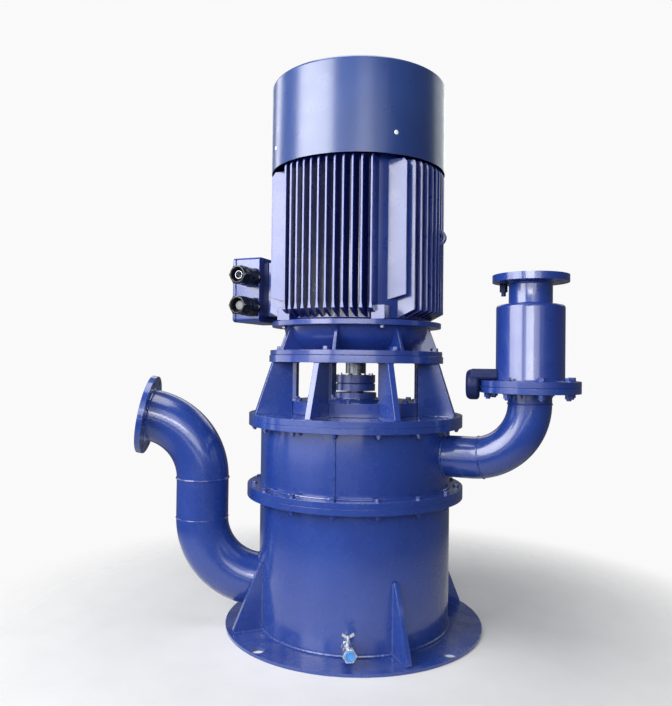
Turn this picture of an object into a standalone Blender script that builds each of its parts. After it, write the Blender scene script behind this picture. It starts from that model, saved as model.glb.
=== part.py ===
"""Vertical self-priming pump with its electric motor on top.

Metres, +Z up.  The origin is the centre of the base plate's underside.  +X points to the
discharge pipe, -X to the motor's terminal box.  Each object is one sub-part.
"""

import math

import bmesh
import bpy
from mathutils import Matrix, Vector

# Driving dimensions
GAP = 0.0003                 # between pieces that touch
SINK = 0.004                 # how far fused shapes reach into each other
BARREL_SIDES = 64            # facets of the barrels and of what meets them
SIDES = 40                   # facets of other round pieces
PIPE_SIDES = 24
SHAFT_SIDES = 24
SMALL_SIDES = 16
HOLE_SIDES = 10
BEND_STEPS = 9

BASE_R = 0.470
BASE_T = 0.010
ANCHOR_PITCH_R = 0.444
ANCHOR_HOLE_R = 0.022
ANCHOR_ANGLES = [-112.5, -22.5, 67.5, 157.5]

BARREL_R = 0.350
BARREL_WALL = 0.012
BARREL_BORE_SPAN = (0.25, 0.45)  # how far out from the axis the pipes' bores are cut
PIPE_ROOT_R = 0.320          # where the pipes start, before the barrel's side trims them
MID_Z = 0.492                # joint between the two barrels
MID_FLANGE_R = 0.3976
FLANGE_T = 0.0205
TOP_Z = 0.7485               # joint between the upper barrel and the lantern
TOP_FLANGE_R = 0.395
LANTERN_BASE_T = 0.0215

FOOT_RIB_ANGLES = [-45.0, 45.0, 135.0, -135.0]
FOOT_RIB_T = 0.018
FOOT_RIB_R = 0.455
FOOT_RIB_TOE = 0.012         # height of the outer end
FOOT_RIB_HEAD = 0.010        # width of the top
FOOT_RIB_TOP_Z = 0.245

LANTERN_TOP_Z = 0.9816
LANTERN_RING_T = 0.025
LANTERN_RING_R = 0.3235
LANTERN_RING_INNER_R = 0.200
LANTERN_RIBS = 8
LANTERN_RIB_START = -92.0
LANTERN_RIB_T = 0.021
LANTERN_RIB_INNER_R = 0.2475
LANTERN_RIB_FOOT_R = 0.384
LANTERN_RIB_HEAD_R = 0.322

HOUSING_R = 0.2465
HOUSING_TOP_Z = 0.817
HOUSING_BOSS_R = 0.078
HOUSING_BOSS_Z = 0.847
PUMP_SHAFT_R = 0.030
PUMP_SHAFT_FOOT_Z = 0.790

COUPLING_R = 0.073
COUPLING_FOOT_Z = 0.8535
COUPLING_SPLIT_Z = 0.881
COUPLING_TOP_Z = 0.912
COUPLING_STEP = (0.004, 0.002)   # depth and height of the step where the hubs meet
MOTOR_SHAFT_R = 0.038
MOTOR_SHAFT_TOP_Z = 1.862

MOTOR_FLANGE_R = 0.320
MOTOR_FLANGE_T = 0.018
SHIELD_BOWL = [(0.215, 1.0), (0.238, 1.020), (0.258, 1.044), (0.270, 1.085)]
SHIELD_RING_Z = SHIELD_BOWL[-1][1]
SHIELD_RING_R = 0.3145
SHIELD_RIB_INNER_R = 0.190
SHIELD_RIB_FOOT_R = 0.304
SHIELD_RIB_HEAD_R = 0.272
SHIELD_RIB_T = 0.012
SHIELD_RIBS = 8
SHIELD_RIB_START = -82.0

FRAME_Z = 1.104              # underside of the finned frame
FRAME_FIN_TOP_Z = 1.6495
FRAME_CORE_R = 0.272
FRAME_FIN_R = 0.3205
FIN_PITCH = 0.02925
FIN_T = 0.0072
FIN_TIP_SHARE = 0.75         # a fin's thickness at its tip, of that at its root
FINS_PER_SIDE = 12
FIN_FOOT_CORE_RISE = 0.006   # the fins' feet slope up from the core
FIN_FOOT_EDGE_RISE = 0.058   # to this height at the radius below
FIN_FOOT_EDGE_R = 0.360
LUG_X = (0.153, 0.201)
LUG_Y = (0.180, 0.250)
LUG_Z = 1.151                # top of the four corner lugs
SIDE_FIN_X = (0.170, 0.256)
SIDE_FIN_Y = 0.191           # middle of the fins over the corner lugs
SIDE_FIN_T = 0.008
SIDE_FIN_Z = 1.176           # their feet
REAR_SHIELD_R = 0.262
REAR_SHIELD_Z = 1.752
REAR_LUG_Z = 1.690
REAR_LUG_INNER_R = 0.200
REAR_LUG_HALF = 0.020
REAR_LUG_GAP = 0.0011        # to the cowl's inside

COWL_R = 0.3227
COWL_WALL = 0.003
COWL_Z = 1.653
COWL_TOP_Z = 1.975
COWL_EDGE_R = 0.010
GRILLE_SLOTS = 12
GRILLE_INNER_R = 0.075
GRILLE_OUTER_R = 0.205
GRILLE_START = 15.0
GRILLE_SLOT_HALF = 0.013     # at the outer end
GRILLE_TAPER = 0.7

FAN_R = 0.250
FAN_BLADES = 7
FAN_BLADE_T = 0.004
FAN_Z = 1.790
FAN_TOP_Z = 1.880
FAN_HUB_R = 0.062
FAN_DISC_R = 0.220
FAN_DISC_RISE = 0.030        # the disc is a shallow cone
FAN_DISC_T = 0.004

BOX_FACE_X = -0.349          # the terminal box's inner face, towards the motor
BOX_PAD_X = -0.3225
BOX_PAD_ROOT_X = -0.250
BOX_NECK_HALF_Y = 0.098
BOX_NECK_INSET = 0.022       # from the box's top and foot to its neck's
BOX_CORNER_R = 0.014
BOX_OUTER_X = -0.467
BOX_LID_T = 0.016
BOX_HALF_Y = 0.125           # the lid stands 1 mm proud of the box
BOX_BODY_HALF_Y = 0.124
BOX_Z = (1.108, 1.356)
GLAND_X = -0.377
GLAND_ZS = {"upper": 1.276, "lower": 1.164}
GLAND_LENGTH = 0.115
GLAND_OUTSIDE = [(0.0395, 0.0), (0.0395, 0.010), (0.037, 0.012), (0.037, 0.060)]
GLAND_OUTSIDE += [(0.033, 0.078), (0.031, 0.092), (0.029, GLAND_LENGTH)]
GLAND_BORE = [(0.0175, GLAND_LENGTH), (0.0165, 0.070)]

EYE_Z = 1.407
EYE_X = 0.3115
EYE_R = 0.0275
EYE_HOLE_X = 0.3205
EYE_HOLE_R = 0.0110
EYE_T = 0.016
EYE_STEPS = 12

SUCTION_ANGLE = -153.0
SUCTION_PIPE_R = 0.0945
SUCTION_BORE_R = 0.0865
SUCTION_BEND_R = 0.232
SUCTION_AXIS_Z = 0.153
SUCTION_RISER_R = 0.5625
SUCTION_RISER_TOP_Z = 0.528
SUCTION_BEND_DEG = 80.0      # of the upper elbow, which ends a little short of level
SUCTION_FLANGE_R = 0.143
SUCTION_FLANGE_T = 0.022
SUCTION_BOLT_R = 0.123
SUCTION_HOLE_R = 0.009

DISCHARGE_PIPE_R = 0.0725
DISCHARGE_BORE_R = 0.0655
DISCHARGE_BEND_R = 0.194
DISCHARGE_AXIS_Z = 0.632
DISCHARGE_RISER_X = 0.634
DISCHARGE_FLANGE_R = 0.165
DISCHARGE_FLANGE_T = 0.0205
DISCHARGE_JOINT_Z = 0.883
VALVE_R = 0.113
VALVE_TOP_Z = 1.159
VALVE_WALL = 0.016
VALVE_SHOULDER = 0.012       # the rounded edge of its top
VALVE_CHAMFER = 0.0035
VALVE_ROOF = (0.014, 0.026)  # depth of the chamber's roof at the neck and at the wall
VALVE_FLOOR_SLOPE = (0.002, 0.010)
BOSS_ANGLE = 190.0
BOSS_R = 0.058
BOSS_REACH = 0.212
BOSS_ARM_HALF = 0.036
BOSS_ARM_HEIGHT = 0.038
BOSS_ARM_ROOT = 0.090
NECK_R = 0.072
NECK_BORE_R = 0.0625
OUTLET_FLANGE_Z = 1.235
OUTLET_FLANGE_R = 0.1265
OUTLET_TOP_Z = 1.261
OUTLET_BOLT_R = 0.105
OUTLET_HOLE_R = 0.009
FLANGE_HOLES = 8
FLANGE_HOLE_START = 22.5

DRAIN_ANGLE = -70.1          # where the valve's stem stands
DRAIN_HEADING = -60.0        # which way its outlet points
DRAIN_SEAT_R = 0.405
DRAIN_Z = 0.056
DRAIN_NIPPLE = 0.062
DRAIN_REACH = 0.050          # from the stem to the outlet's face
DRAIN_PIPE_R = 0.013
DRAIN_BARREL_R = 0.019
DRAIN_BARREL_FOOT = 0.026    # from the stem to the end at the nipple
DRAIN_SHOULDER = 0.013       # from the stem to where the ball's bulge begins
DRAIN_BODY_R = 0.021
DRAIN_BODY_HALF = 0.009
DRAIN_HEX_R = 0.0235
DRAIN_HEX_LENGTH = 0.019
DRAIN_PLUG_R = 0.0169
DRAIN_PLUG_DEPTH = 0.012
DRAIN_STEM_R = 0.0045
DRAIN_STEM_DEPTH = 0.014     # foot of the stem over the valve's axis
DRAIN_NECK = 0.030           # top of the stem's neck over the valve's axis
DRAIN_NECK_R = 0.0085
DRAIN_HUB_RISE = 0.006       # handle's hub over the neck
DRAIN_HUB_R = 0.0075
DRAIN_HUB_HEIGHT = 0.009
DRAIN_HANDLE_T = 0.006
DRAIN_HANDLE_WING = [(0.006, 0.001), (0.020, 0.008), (0.017, 0.018), (0.004, 0.008)]

# Materials
MATERIALS = {}


def material(name, colour, roughness, metallic=0.0):
    """A Principled material, made once for each name."""
    if name not in MATERIALS:
        made = bpy.data.materials.new(name)
        made.use_nodes = True
        shader = made.node_tree.nodes["Principled BSDF"]
        shader.inputs["Base Color"].default_value = (*colour, 1.0)
        shader.inputs["Roughness"].default_value = roughness
        shader.inputs["Metallic"].default_value = metallic
        MATERIALS[name] = made
    return MATERIALS[name]


def enamel():
    return material("blue_enamel", (0.022, 0.045, 0.30), 0.28)


def bright_steel():
    return material("bright_steel", (0.62, 0.63, 0.65), 0.30, 1.0)


def black_plastic():
    return material("black_plastic", (0.012, 0.012, 0.014), 0.45)


def cast_iron():
    return material("cast_iron", (0.03, 0.035, 0.06), 0.55, 0.6)


def blue_cap():
    return material("blue_cap", (0.07, 0.26, 0.62), 0.45)


# Shared shapes
def polar(radius, degrees, height=0.0):
    angle = math.radians(degrees)
    return Vector((radius * math.cos(angle), radius * math.sin(angle), height))


def finish(name, mesh_builder, surface, placement=Matrix.Identity(4)):
    """Turns a bmesh into a named object with flat ends and smooth round sides."""
    bmesh.ops.recalc_face_normals(mesh_builder, faces=mesh_builder.faces)
    mesh = bpy.data.meshes.new(name)
    mesh_builder.to_mesh(mesh)
    mesh_builder.free()
    mesh.transform(placement)
    mesh.materials.append(surface)
    mesh.shade_smooth()
    mesh.set_sharp_from_angle(angle=math.radians(32))
    made = bpy.data.objects.new(name, mesh)
    bpy.context.scene.collection.objects.link(made)
    return made


def turned(profile, sides=SIDES, start=0.0):
    """A bmesh of a closed (radius, height) outline turned about the Z axis."""
    shape = bmesh.new()
    rings = []
    for radius, height in profile:
        if radius < 1e-6:
            rings.append([shape.verts.new((0.0, 0.0, height))])
            continue
        ring = []
        for side in range(sides):
            ring.append(shape.verts.new(polar(radius, start + 360.0 * side / sides, height)))
        rings.append(ring)
    for index, ring in enumerate(rings):
        following = rings[(index + 1) % len(rings)]
        if len(ring) == 1 and len(following) == 1:
            continue
        for side in range(sides):
            other = (side + 1) % sides
            corners = [ring[side % len(ring)], ring[other % len(ring)]]
            corners += [following[other % len(following)], following[side % len(following)]]
            shape.faces.new(list(dict.fromkeys(corners)))
    return shape


def ring_profile(inner, outer, low, high):
    if inner <= 0.0:
        return [(0.0, low), (outer, low), (outer, high), (0.0, high)]
    return [(inner, low), (outer, low), (outer, high), (inner, high)]


def turned_object(name, profile, surface, sides=SIDES, placement=Matrix.Identity(4), start=0.0):
    return finish(name, turned(profile, sides, start), surface, placement)


def extruded(outline, depth):
    """A bmesh of an outline in XY, extruded from z = 0 to z = depth."""
    shape = bmesh.new()
    low = [shape.verts.new((x, y, 0.0)) for x, y in outline]
    high = [shape.verts.new((x, y, depth)) for x, y in outline]
    shape.faces.new(list(reversed(low)))
    shape.faces.new(high)
    for index in range(len(outline)):
        other = (index + 1) % len(outline)
        shape.faces.new([low[index], low[other], high[other], high[index]])
    return shape


def upright(thickness, degrees):
    """A placement that stands an extruded (radius, height) outline in the radial plane."""
    stand = Matrix.Rotation(math.radians(90), 4, "X") @ Matrix.Translation((0, 0, -thickness / 2))
    return Matrix.Rotation(math.radians(degrees), 4, "Z") @ stand


def standing_plate(outline, thickness, degrees):
    """A bmesh plate whose (radius, height) outline stands in the radial plane at an angle."""
    shape = extruded(outline, thickness)
    bmesh.ops.transform(shape, matrix=upright(thickness, degrees), verts=shape.verts)
    bmesh.ops.recalc_face_normals(shape, faces=shape.faces)
    return shape


def block(low, high):
    """A bmesh box between two corners."""
    outline = [(low[0], low[1]), (high[0], low[1]), (high[0], high[1]), (low[0], high[1])]
    shape = extruded(outline, high[2] - low[2])
    bmesh.ops.translate(shape, verts=shape.verts, vec=(0, 0, low[2]))
    return shape


def pipe_along(stations, outer, inner, sides=PIPE_SIDES):
    """A bmesh tube. Each station is (centre, direction); the path stays in one plane."""
    shape = bmesh.new()
    normal = None
    for index in range(len(stations) - 1):
        turn = stations[index][1].cross(stations[index + 1][1])
        if turn.length > 1e-9:
            normal = turn.normalized()
            break
    if normal is None:
        normal = stations[0][1].orthogonal().normalized()
    walls = []
    for radius in (outer, inner):
        rings = []
        for centre, direction in stations:
            across = direction.cross(normal).normalized()
            ring = []
            for side in range(sides):
                angle = 2 * math.pi * side / sides
                offset = across * math.cos(angle) + normal * math.sin(angle)
                ring.append(shape.verts.new(centre + radius * offset))
            rings.append(ring)
        walls.append(rings)
    for rings in walls:
        for near, far in zip(rings, rings[1:]):
            for side in range(sides):
                other = (side + 1) % sides
                shape.faces.new([near[side], near[other], far[other], far[side]])
    for end in (0, -1):
        outside = walls[0][end]
        inside = walls[1][end]
        for side in range(sides):
            other = (side + 1) % sides
            shape.faces.new([outside[side], outside[other], inside[other], inside[side]])
    return shape


def bend_stations(corner_start, heading, towards, radius, degrees, steps):
    """Stations along a bend that starts at a point, heads one way and turns towards another."""
    stations = []
    centre = corner_start + towards * radius
    for step in range(steps + 1):
        angle = math.radians(degrees) * step / steps
        place = centre - towards * radius * math.cos(angle) + heading * radius * math.sin(angle)
        direction = heading * math.cos(angle) + towards * math.sin(angle)
        stations.append((place, direction))
    return stations


def cut(target, cutter, operation="DIFFERENCE"):
    """Applies a Boolean of a guide object, which is then hidden."""
    cutter.hide_render = True
    cutter.display_type = "WIRE"
    modifier = target.modifiers.new(cutter.name, "BOOLEAN")
    modifier.operation = operation
    modifier.solver = "EXACT"
    modifier.object = cutter


def guide(name, shape, placement=Matrix.Identity(4)):
    made = finish(name, shape, enamel(), placement)
    made.hide_render = True
    made.display_type = "WIRE"
    return made


def along(point, direction):
    """A placement that sends +Z along a direction from a point."""
    turn = Vector(direction).to_track_quat("Z", "Y").to_matrix().to_4x4()
    return Matrix.Translation(point) @ turn


def joined(shapes):
    """One bmesh that holds several shapes."""
    whole = bmesh.new()
    for shape in shapes:
        mesh = bpy.data.meshes.new("part_of_guide")
        shape.to_mesh(mesh)
        shape.free()
        whole.from_mesh(mesh)
        bpy.data.meshes.remove(mesh)
    return whole


def merged(first, second):
    """The Boolean union of two shapes, as one bmesh."""
    whole = guide("guide_first", first)
    cut(whole, guide("guide_second", second), "UNION")
    graph = bpy.context.evaluated_depsgraph_get()
    shape = bmesh.new()
    shape.from_object(whole, graph)
    for used in (whole, bpy.data.objects["guide_second"]):
        bpy.data.objects.remove(used, do_unlink=True)
    return shape


def hole_guide(name, centre, direction, pitch_radius, count, radius, length, start=0.0):
    """Pins on a circle, for cutting a flange's bolt holes."""
    pins = []
    for hole in range(count):
        pin = turned(ring_profile(0.0, radius, -length / 2, length / 2), HOLE_SIDES)
        place = polar(pitch_radius, start + 360.0 * hole / count)
        bmesh.ops.translate(pin, verts=pin.verts, vec=place)
        pins.append(pin)
    return guide(name, joined(pins), along(centre, direction))


# Pump body
def base_plate():
    plate = turned_object("base_plate", ring_profile(0.0, BASE_R, 0.0, BASE_T), enamel(), BARREL_SIDES)
    pins = []
    for degrees in ANCHOR_ANGLES:
        pin = turned(ring_profile(0.0, ANCHOR_HOLE_R, -BASE_T, 2 * BASE_T), SMALL_SIDES)
        bmesh.ops.translate(pin, verts=pin.verts, vec=polar(ANCHOR_PITCH_R, degrees))
        pins.append(pin)
    cut(plate, guide("guide_anchor_holes", joined(pins)))


def foot_ribs():
    foot = BASE_T + GAP
    inner = BARREL_R + 2 * GAP
    outline = [(inner, foot), (FOOT_RIB_R, foot), (FOOT_RIB_R, foot + FOOT_RIB_TOE)]
    outline += [(inner + FOOT_RIB_HEAD, FOOT_RIB_TOP_Z), (inner, FOOT_RIB_TOP_Z)]
    for number, degrees in enumerate(FOOT_RIB_ANGLES, 1):
        finish(f"base_gusset_{number}", standing_plate(outline, FOOT_RIB_T, degrees), enamel())


def barrel(name, low, high, bore_guide):
    inner = BARREL_R - BARREL_WALL
    made = turned_object(name, ring_profile(inner, BARREL_R, low, high), enamel(), BARREL_SIDES)
    cut(made, bore_guide)
    return made


def barrel_guide(name, low, high):
    """The barrel's outside with its clearance, for trimming what meets it."""
    clearance = BARREL_R + GAP
    return guide(name, turned(ring_profile(0.0, clearance, low, high), BARREL_SIDES))


def barrels():
    bore = turned(ring_profile(0.0, SUCTION_BORE_R, *BARREL_BORE_SPAN), PIPE_SIDES)
    outward = polar(1.0, SUCTION_ANGLE)
    lower_bore = guide("guide_suction_bore", bore, along((0, 0, SUCTION_AXIS_Z), outward))
    barrel("lower_barrel", BASE_T + GAP, MID_Z - GAP, lower_bore)
    bore = turned(ring_profile(0.0, DISCHARGE_BORE_R, *BARREL_BORE_SPAN), PIPE_SIDES)
    upper_bore = guide("guide_discharge_bore", bore, along((0, 0, DISCHARGE_AXIS_Z), (1, 0, 0)))
    barrel("upper_barrel", MID_Z, TOP_Z - GAP, upper_bore)


def barrel_flanges():
    inner = BARREL_R + GAP
    rings = {
        "lower_barrel_flange": (MID_FLANGE_R, MID_Z - FLANGE_T, MID_Z - GAP),
        "upper_barrel_foot_flange": (MID_FLANGE_R, MID_Z, MID_Z + FLANGE_T),
        "upper_barrel_top_flange": (TOP_FLANGE_R, TOP_Z - FLANGE_T, TOP_Z - GAP),
    }
    for name, (outer, low, high) in rings.items():
        turned_object(name, ring_profile(inner, outer, low, high), enamel(), BARREL_SIDES)


# Lantern, bearing housing and shaft line
def lantern():
    floor = TOP_Z + LANTERN_BASE_T
    plate = ring_profile(0.0, TOP_FLANGE_R, TOP_Z, floor)
    turned_object("lantern_base_plate", plate, enamel(), BARREL_SIDES)
    ring_foot = LANTERN_TOP_Z - LANTERN_RING_T
    ring = ring_profile(LANTERN_RING_INNER_R, LANTERN_RING_R, ring_foot, LANTERN_TOP_Z)
    turned_object("lantern_top_ring", ring, enamel(), BARREL_SIDES)
    low = floor + GAP
    high = ring_foot - GAP
    outline = [(LANTERN_RIB_INNER_R, low), (LANTERN_RIB_FOOT_R, low)]
    outline += [(LANTERN_RIB_HEAD_R, high), (LANTERN_RIB_INNER_R, high)]
    for rib in range(LANTERN_RIBS):
        degrees = LANTERN_RIB_START + 360.0 * rib / LANTERN_RIBS
        finish(f"lantern_rib_{rib + 1}", standing_plate(outline, LANTERN_RIB_T, degrees), enamel())


def bearing_housing():
    low = TOP_Z + LANTERN_BASE_T + GAP
    bore = PUMP_SHAFT_R + GAP
    bevel = 0.004
    profile = [(0.0, low), (HOUSING_R, low), (HOUSING_R, HOUSING_TOP_Z - bevel)]
    profile += [(HOUSING_R - bevel, HOUSING_TOP_Z), (HOUSING_BOSS_R, HOUSING_TOP_Z)]
    profile += [(HOUSING_BOSS_R, HOUSING_BOSS_Z), (bore, HOUSING_BOSS_Z)]
    profile += [(bore, PUMP_SHAFT_FOOT_Z - GAP), (0.0, PUMP_SHAFT_FOOT_Z - GAP)]
    turned_object("bearing_housing", profile, enamel())


def coupling():
    lower = [(0.0, PUMP_SHAFT_FOOT_Z), (PUMP_SHAFT_R, PUMP_SHAFT_FOOT_Z)]
    lower += [(PUMP_SHAFT_R, COUPLING_FOOT_Z), (COUPLING_R, COUPLING_FOOT_Z)]
    depth, height = COUPLING_STEP
    step_r = COUPLING_R - depth
    step_z = COUPLING_SPLIT_Z - height
    lower += [(COUPLING_R, step_z), (step_r, step_z), (step_r, COUPLING_SPLIT_Z), (0.0, COUPLING_SPLIT_Z)]
    turned_object("coupling_lower_hub", lower, cast_iron(), SHAFT_SIDES)
    inner = MOTOR_SHAFT_R + GAP
    low = COUPLING_SPLIT_Z + GAP
    upper = [(inner, low), (step_r, low), (step_r, low + height)]
    upper += [(COUPLING_R, low + height), (COUPLING_R, COUPLING_TOP_Z), (inner, COUPLING_TOP_Z)]
    turned_object("coupling_upper_hub", upper, cast_iron(), SHAFT_SIDES)
    shaft = ring_profile(0.0, MOTOR_SHAFT_R, low, MOTOR_SHAFT_TOP_Z)
    turned_object("motor_shaft", shaft, bright_steel(), SHAFT_SIDES)


# Motor
def end_shield():
    bore = MOTOR_SHAFT_R + GAP
    low = LANTERN_TOP_Z + GAP
    face = low + MOTOR_FLANGE_T
    profile = [(bore, low), (MOTOR_FLANGE_R, low), (MOTOR_FLANGE_R, face), (SHIELD_BOWL[0][0], face)]
    profile += SHIELD_BOWL[1:]
    profile += [(SHIELD_RING_R, SHIELD_RING_Z), (SHIELD_RING_R, FRAME_Z - GAP), (bore, FRAME_Z - GAP)]
    shield = turned_object("motor_end_shield", profile, enamel(), BARREL_SIDES)
    head = SHIELD_RING_Z + SINK
    outline = [(SHIELD_RIB_INNER_R, face - SINK), (SHIELD_RIB_FOOT_R, face - SINK)]
    outline += [(SHIELD_RIB_FOOT_R, face + SINK), (SHIELD_RIB_HEAD_R, head), (SHIELD_RIB_INNER_R, head)]
    plates = []
    for rib in range(SHIELD_RIBS):
        degrees = SHIELD_RIB_START + 360.0 * rib / SHIELD_RIBS
        plates.append(standing_plate(outline, SHIELD_RIB_T, degrees))
    cut(shield, guide("guide_shield_ribs", joined(plates)), "UNION")


def fin_outline():
    """The frame's cross-section: a round core with straight fins in four groups."""
    half = FIN_T / 2
    points = []
    for quarter in range(4):
        offsets = [(index - (FINS_PER_SIDE - 1) / 2) * FIN_PITCH for index in range(FINS_PER_SIDE)]
        for offset in offsets:
            for side, at_tip in ((-1, False), (-1, True), (1, True), (1, False)):
                across = offset + side * half * (FIN_TIP_SHARE if at_tip else 1.0)
                reach = FRAME_FIN_R if at_tip else FRAME_CORE_R
                outward = math.sqrt(reach ** 2 - across ** 2)
                points.append((outward, across, quarter))
    outline = []
    for outward, across, quarter in points:
        turn = math.radians(90 * quarter)
        x = outward * math.cos(turn) - across * math.sin(turn)
        y = outward * math.sin(turn) + across * math.cos(turn)
        outline.append((x, y))
    return outline


def corner_blocks():
    """The four corner lugs and the short fins that stand over them."""
    blocks = []
    side_fin_y = (SIDE_FIN_Y - SIDE_FIN_T / 2, SIDE_FIN_Y + SIDE_FIN_T / 2)
    side_fin_top = FRAME_FIN_TOP_Z - SINK / 4
    shapes = [(LUG_X, LUG_Y, (FRAME_Z, LUG_Z)), (SIDE_FIN_X, side_fin_y, (SIDE_FIN_Z, side_fin_top))]
    for x_sign in (-1, 1):
        for y_sign in (-1, 1):
            for across, deep, heights in shapes:
                low_x, high_x = sorted(x_sign * value for value in across)
                low_y, high_y = sorted(y_sign * value for value in deep)
                blocks.append(block((low_x, low_y, heights[0]), (high_x, high_y, heights[1])))
    return blocks


def rear_lugs():
    """Four lugs on the rear shield, which the cowl is screwed to."""
    reach = COWL_R - COWL_WALL - REAR_LUG_GAP
    lugs = []
    for quarter in range(4):
        low = (REAR_LUG_INNER_R, -REAR_LUG_HALF, REAR_LUG_Z)
        lug = block(low, (reach, REAR_LUG_HALF, REAR_SHIELD_Z - SINK / 2))
        turn = Matrix.Rotation(math.radians(45 + 90 * quarter), 3, "Z")
        bmesh.ops.rotate(lug, verts=lug.verts, matrix=turn)
        lugs.append(lug)
    return lugs


def motor_frame():
    body = extruded(fin_outline(), FRAME_FIN_TOP_Z - FRAME_Z)
    bmesh.ops.translate(body, verts=body.verts, vec=(0, 0, FRAME_Z))
    frame = finish("motor_frame", body, enamel())
    root = FRAME_CORE_R + SINK / 4
    below = FRAME_Z - 2 * SINK
    foot = [(root, FRAME_Z + FIN_FOOT_CORE_RISE), (root, below), (FIN_FOOT_EDGE_R, below)]
    foot += [(FIN_FOOT_EDGE_R, FRAME_Z + FIN_FOOT_EDGE_RISE)]
    cut(frame, guide("guide_fin_feet", turned(foot, BARREL_SIDES)))
    cut(frame, guide("guide_corner_lugs", joined(corner_blocks())), "UNION")
    inset = BOX_NECK_INSET - GAP
    low = (BOX_PAD_X, -BOX_NECK_HALF_Y, BOX_Z[0] + inset)
    pad = block(low, (BOX_PAD_ROOT_X, BOX_NECK_HALF_Y, BOX_Z[1] - inset))
    cut(frame, guide("guide_box_pad", pad), "UNION")
    rear = turned(ring_profile(0.0, REAR_SHIELD_R, FRAME_FIN_TOP_Z - 5 * SINK, REAR_SHIELD_Z))
    cut(frame, guide("guide_rear_shield", rear), "UNION")
    cut(frame, guide("guide_rear_lugs", joined(rear_lugs())), "UNION")
    bore_profile = ring_profile(0.0, MOTOR_SHAFT_R + GAP, below, REAR_SHIELD_Z + SINK)
    cut(frame, guide("guide_frame_bore", turned(bore_profile, SHAFT_SIDES)))


def fan_cowl():
    inner = COWL_R - COWL_WALL
    roof = COWL_TOP_Z - COWL_WALL
    profile = [(COWL_R, COWL_Z)]
    for step in range(4):
        angle = math.radians(90 * step / 3)
        radius = COWL_R - COWL_EDGE_R + COWL_EDGE_R * math.cos(angle)
        profile.append((radius, COWL_TOP_Z - COWL_EDGE_R + COWL_EDGE_R * math.sin(angle)))
    profile += [(0.0, COWL_TOP_Z), (0.0, roof), (inner - COWL_EDGE_R + COWL_WALL, roof)]
    profile += [(inner, roof - COWL_EDGE_R + COWL_WALL), (inner, COWL_Z)]
    cowl = turned_object("fan_cowl", profile, enamel(), BARREL_SIDES)
    outer = GRILLE_SLOT_HALF
    inner = GRILLE_SLOT_HALF * GRILLE_TAPER
    outline = [(GRILLE_INNER_R, -inner), (GRILLE_OUTER_R, -outer), (GRILLE_OUTER_R, outer)]
    outline.append((GRILLE_INNER_R, inner))
    slots = []
    for slot in range(GRILLE_SLOTS):
        shape = extruded(outline, 2 * COWL_EDGE_R)
        bmesh.ops.translate(shape, verts=shape.verts, vec=(0, 0, COWL_TOP_Z - COWL_EDGE_R))
        turn = Matrix.Rotation(math.radians(GRILLE_START + 360.0 * slot / GRILLE_SLOTS), 3, "Z")
        bmesh.ops.rotate(shape, verts=shape.verts, matrix=turn)
        slots.append(shape)
    cut(cowl, guide("guide_inlet_slots", joined(slots)))


def cooling_fan():
    """Straight blades on a shallow conical disc, so that the fan works in either direction."""
    bore = MOTOR_SHAFT_R + GAP
    rim = FAN_Z + FAN_DISC_RISE
    rise = FAN_DISC_T + SINK / 2
    hub = [(bore, FAN_Z), (FAN_HUB_R, FAN_Z), (FAN_HUB_R, FAN_Z + rise), (FAN_DISC_R, rim)]
    hub += [(FAN_DISC_R, rim + FAN_DISC_T), (FAN_HUB_R + SINK, FAN_Z + 2 * rise)]
    hub += [(FAN_HUB_R - SINK, MOTOR_SHAFT_TOP_Z), (bore, MOTOR_SHAFT_TOP_Z)]
    fan = turned_object("cooling_fan", hub, black_plastic(), SHAFT_SIDES)
    root = FAN_HUB_R - SINK / 4
    near = FAN_DISC_R - SINK / 4
    outline = [(root, FAN_Z + rise + SINK / 2), (near, rim + FAN_DISC_T / 2), (FAN_R, rim + 2 * FAN_DISC_T)]
    outline += [(FAN_R, FAN_TOP_Z), (root, MOTOR_SHAFT_TOP_Z - SINK)]
    blades = []
    for number in range(FAN_BLADES):
        blades.append(standing_plate(outline, FAN_BLADE_T, 360.0 * number / FAN_BLADES))
    cut(fan, guide("guide_fan_blades", joined(blades)), "UNION")


def rounded_outline(low, high, radius, steps=4):
    """A rectangle with rounded corners, anticlockwise."""
    outline = []
    corners = [(high[0] - radius, high[1] - radius, 0), (low[0] + radius, high[1] - radius, 90)]
    corners += [(low[0] + radius, low[1] + radius, 180), (high[0] - radius, low[1] + radius, 270)]
    for centre_x, centre_y, start in corners:
        for step in range(steps + 1):
            angle = math.radians(start + 90 * step / steps)
            outline.append((centre_x + radius * math.cos(angle), centre_y + radius * math.sin(angle)))
    return outline


def box_layer(name, half_y, z_range, x_range, corner, surface):
    """A block with rounded corners, extruded along X between two faces."""
    outline = rounded_outline((-half_y, z_range[0]), (half_y, z_range[1]), corner)
    shape = extruded(outline, x_range[1] - x_range[0])
    lay = Matrix(((0, 0, 1, x_range[0]), (1, 0, 0, 0), (0, 1, 0, 0), (0, 0, 0, 1)))
    return finish(name, shape, surface, lay)


def terminal_box():
    lid_face = BOX_OUTER_X + BOX_LID_T
    body_x = (lid_face + GAP, BOX_FACE_X)
    body = box_layer("terminal_box", BOX_BODY_HALF_Y, BOX_Z, body_x, BOX_CORNER_R, enamel())
    low = (BOX_FACE_X - 2 * SINK, -BOX_NECK_HALF_Y, BOX_Z[0] + BOX_NECK_INSET)
    neck = block(low, (BOX_PAD_X - GAP, BOX_NECK_HALF_Y, BOX_Z[1] - BOX_NECK_INSET))
    cut(body, guide("guide_box_neck", neck), "UNION")
    lid_x = (BOX_OUTER_X, lid_face)
    box_layer("terminal_box_lid", BOX_HALF_Y, BOX_Z, lid_x, BOX_CORNER_R, enamel())


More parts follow.
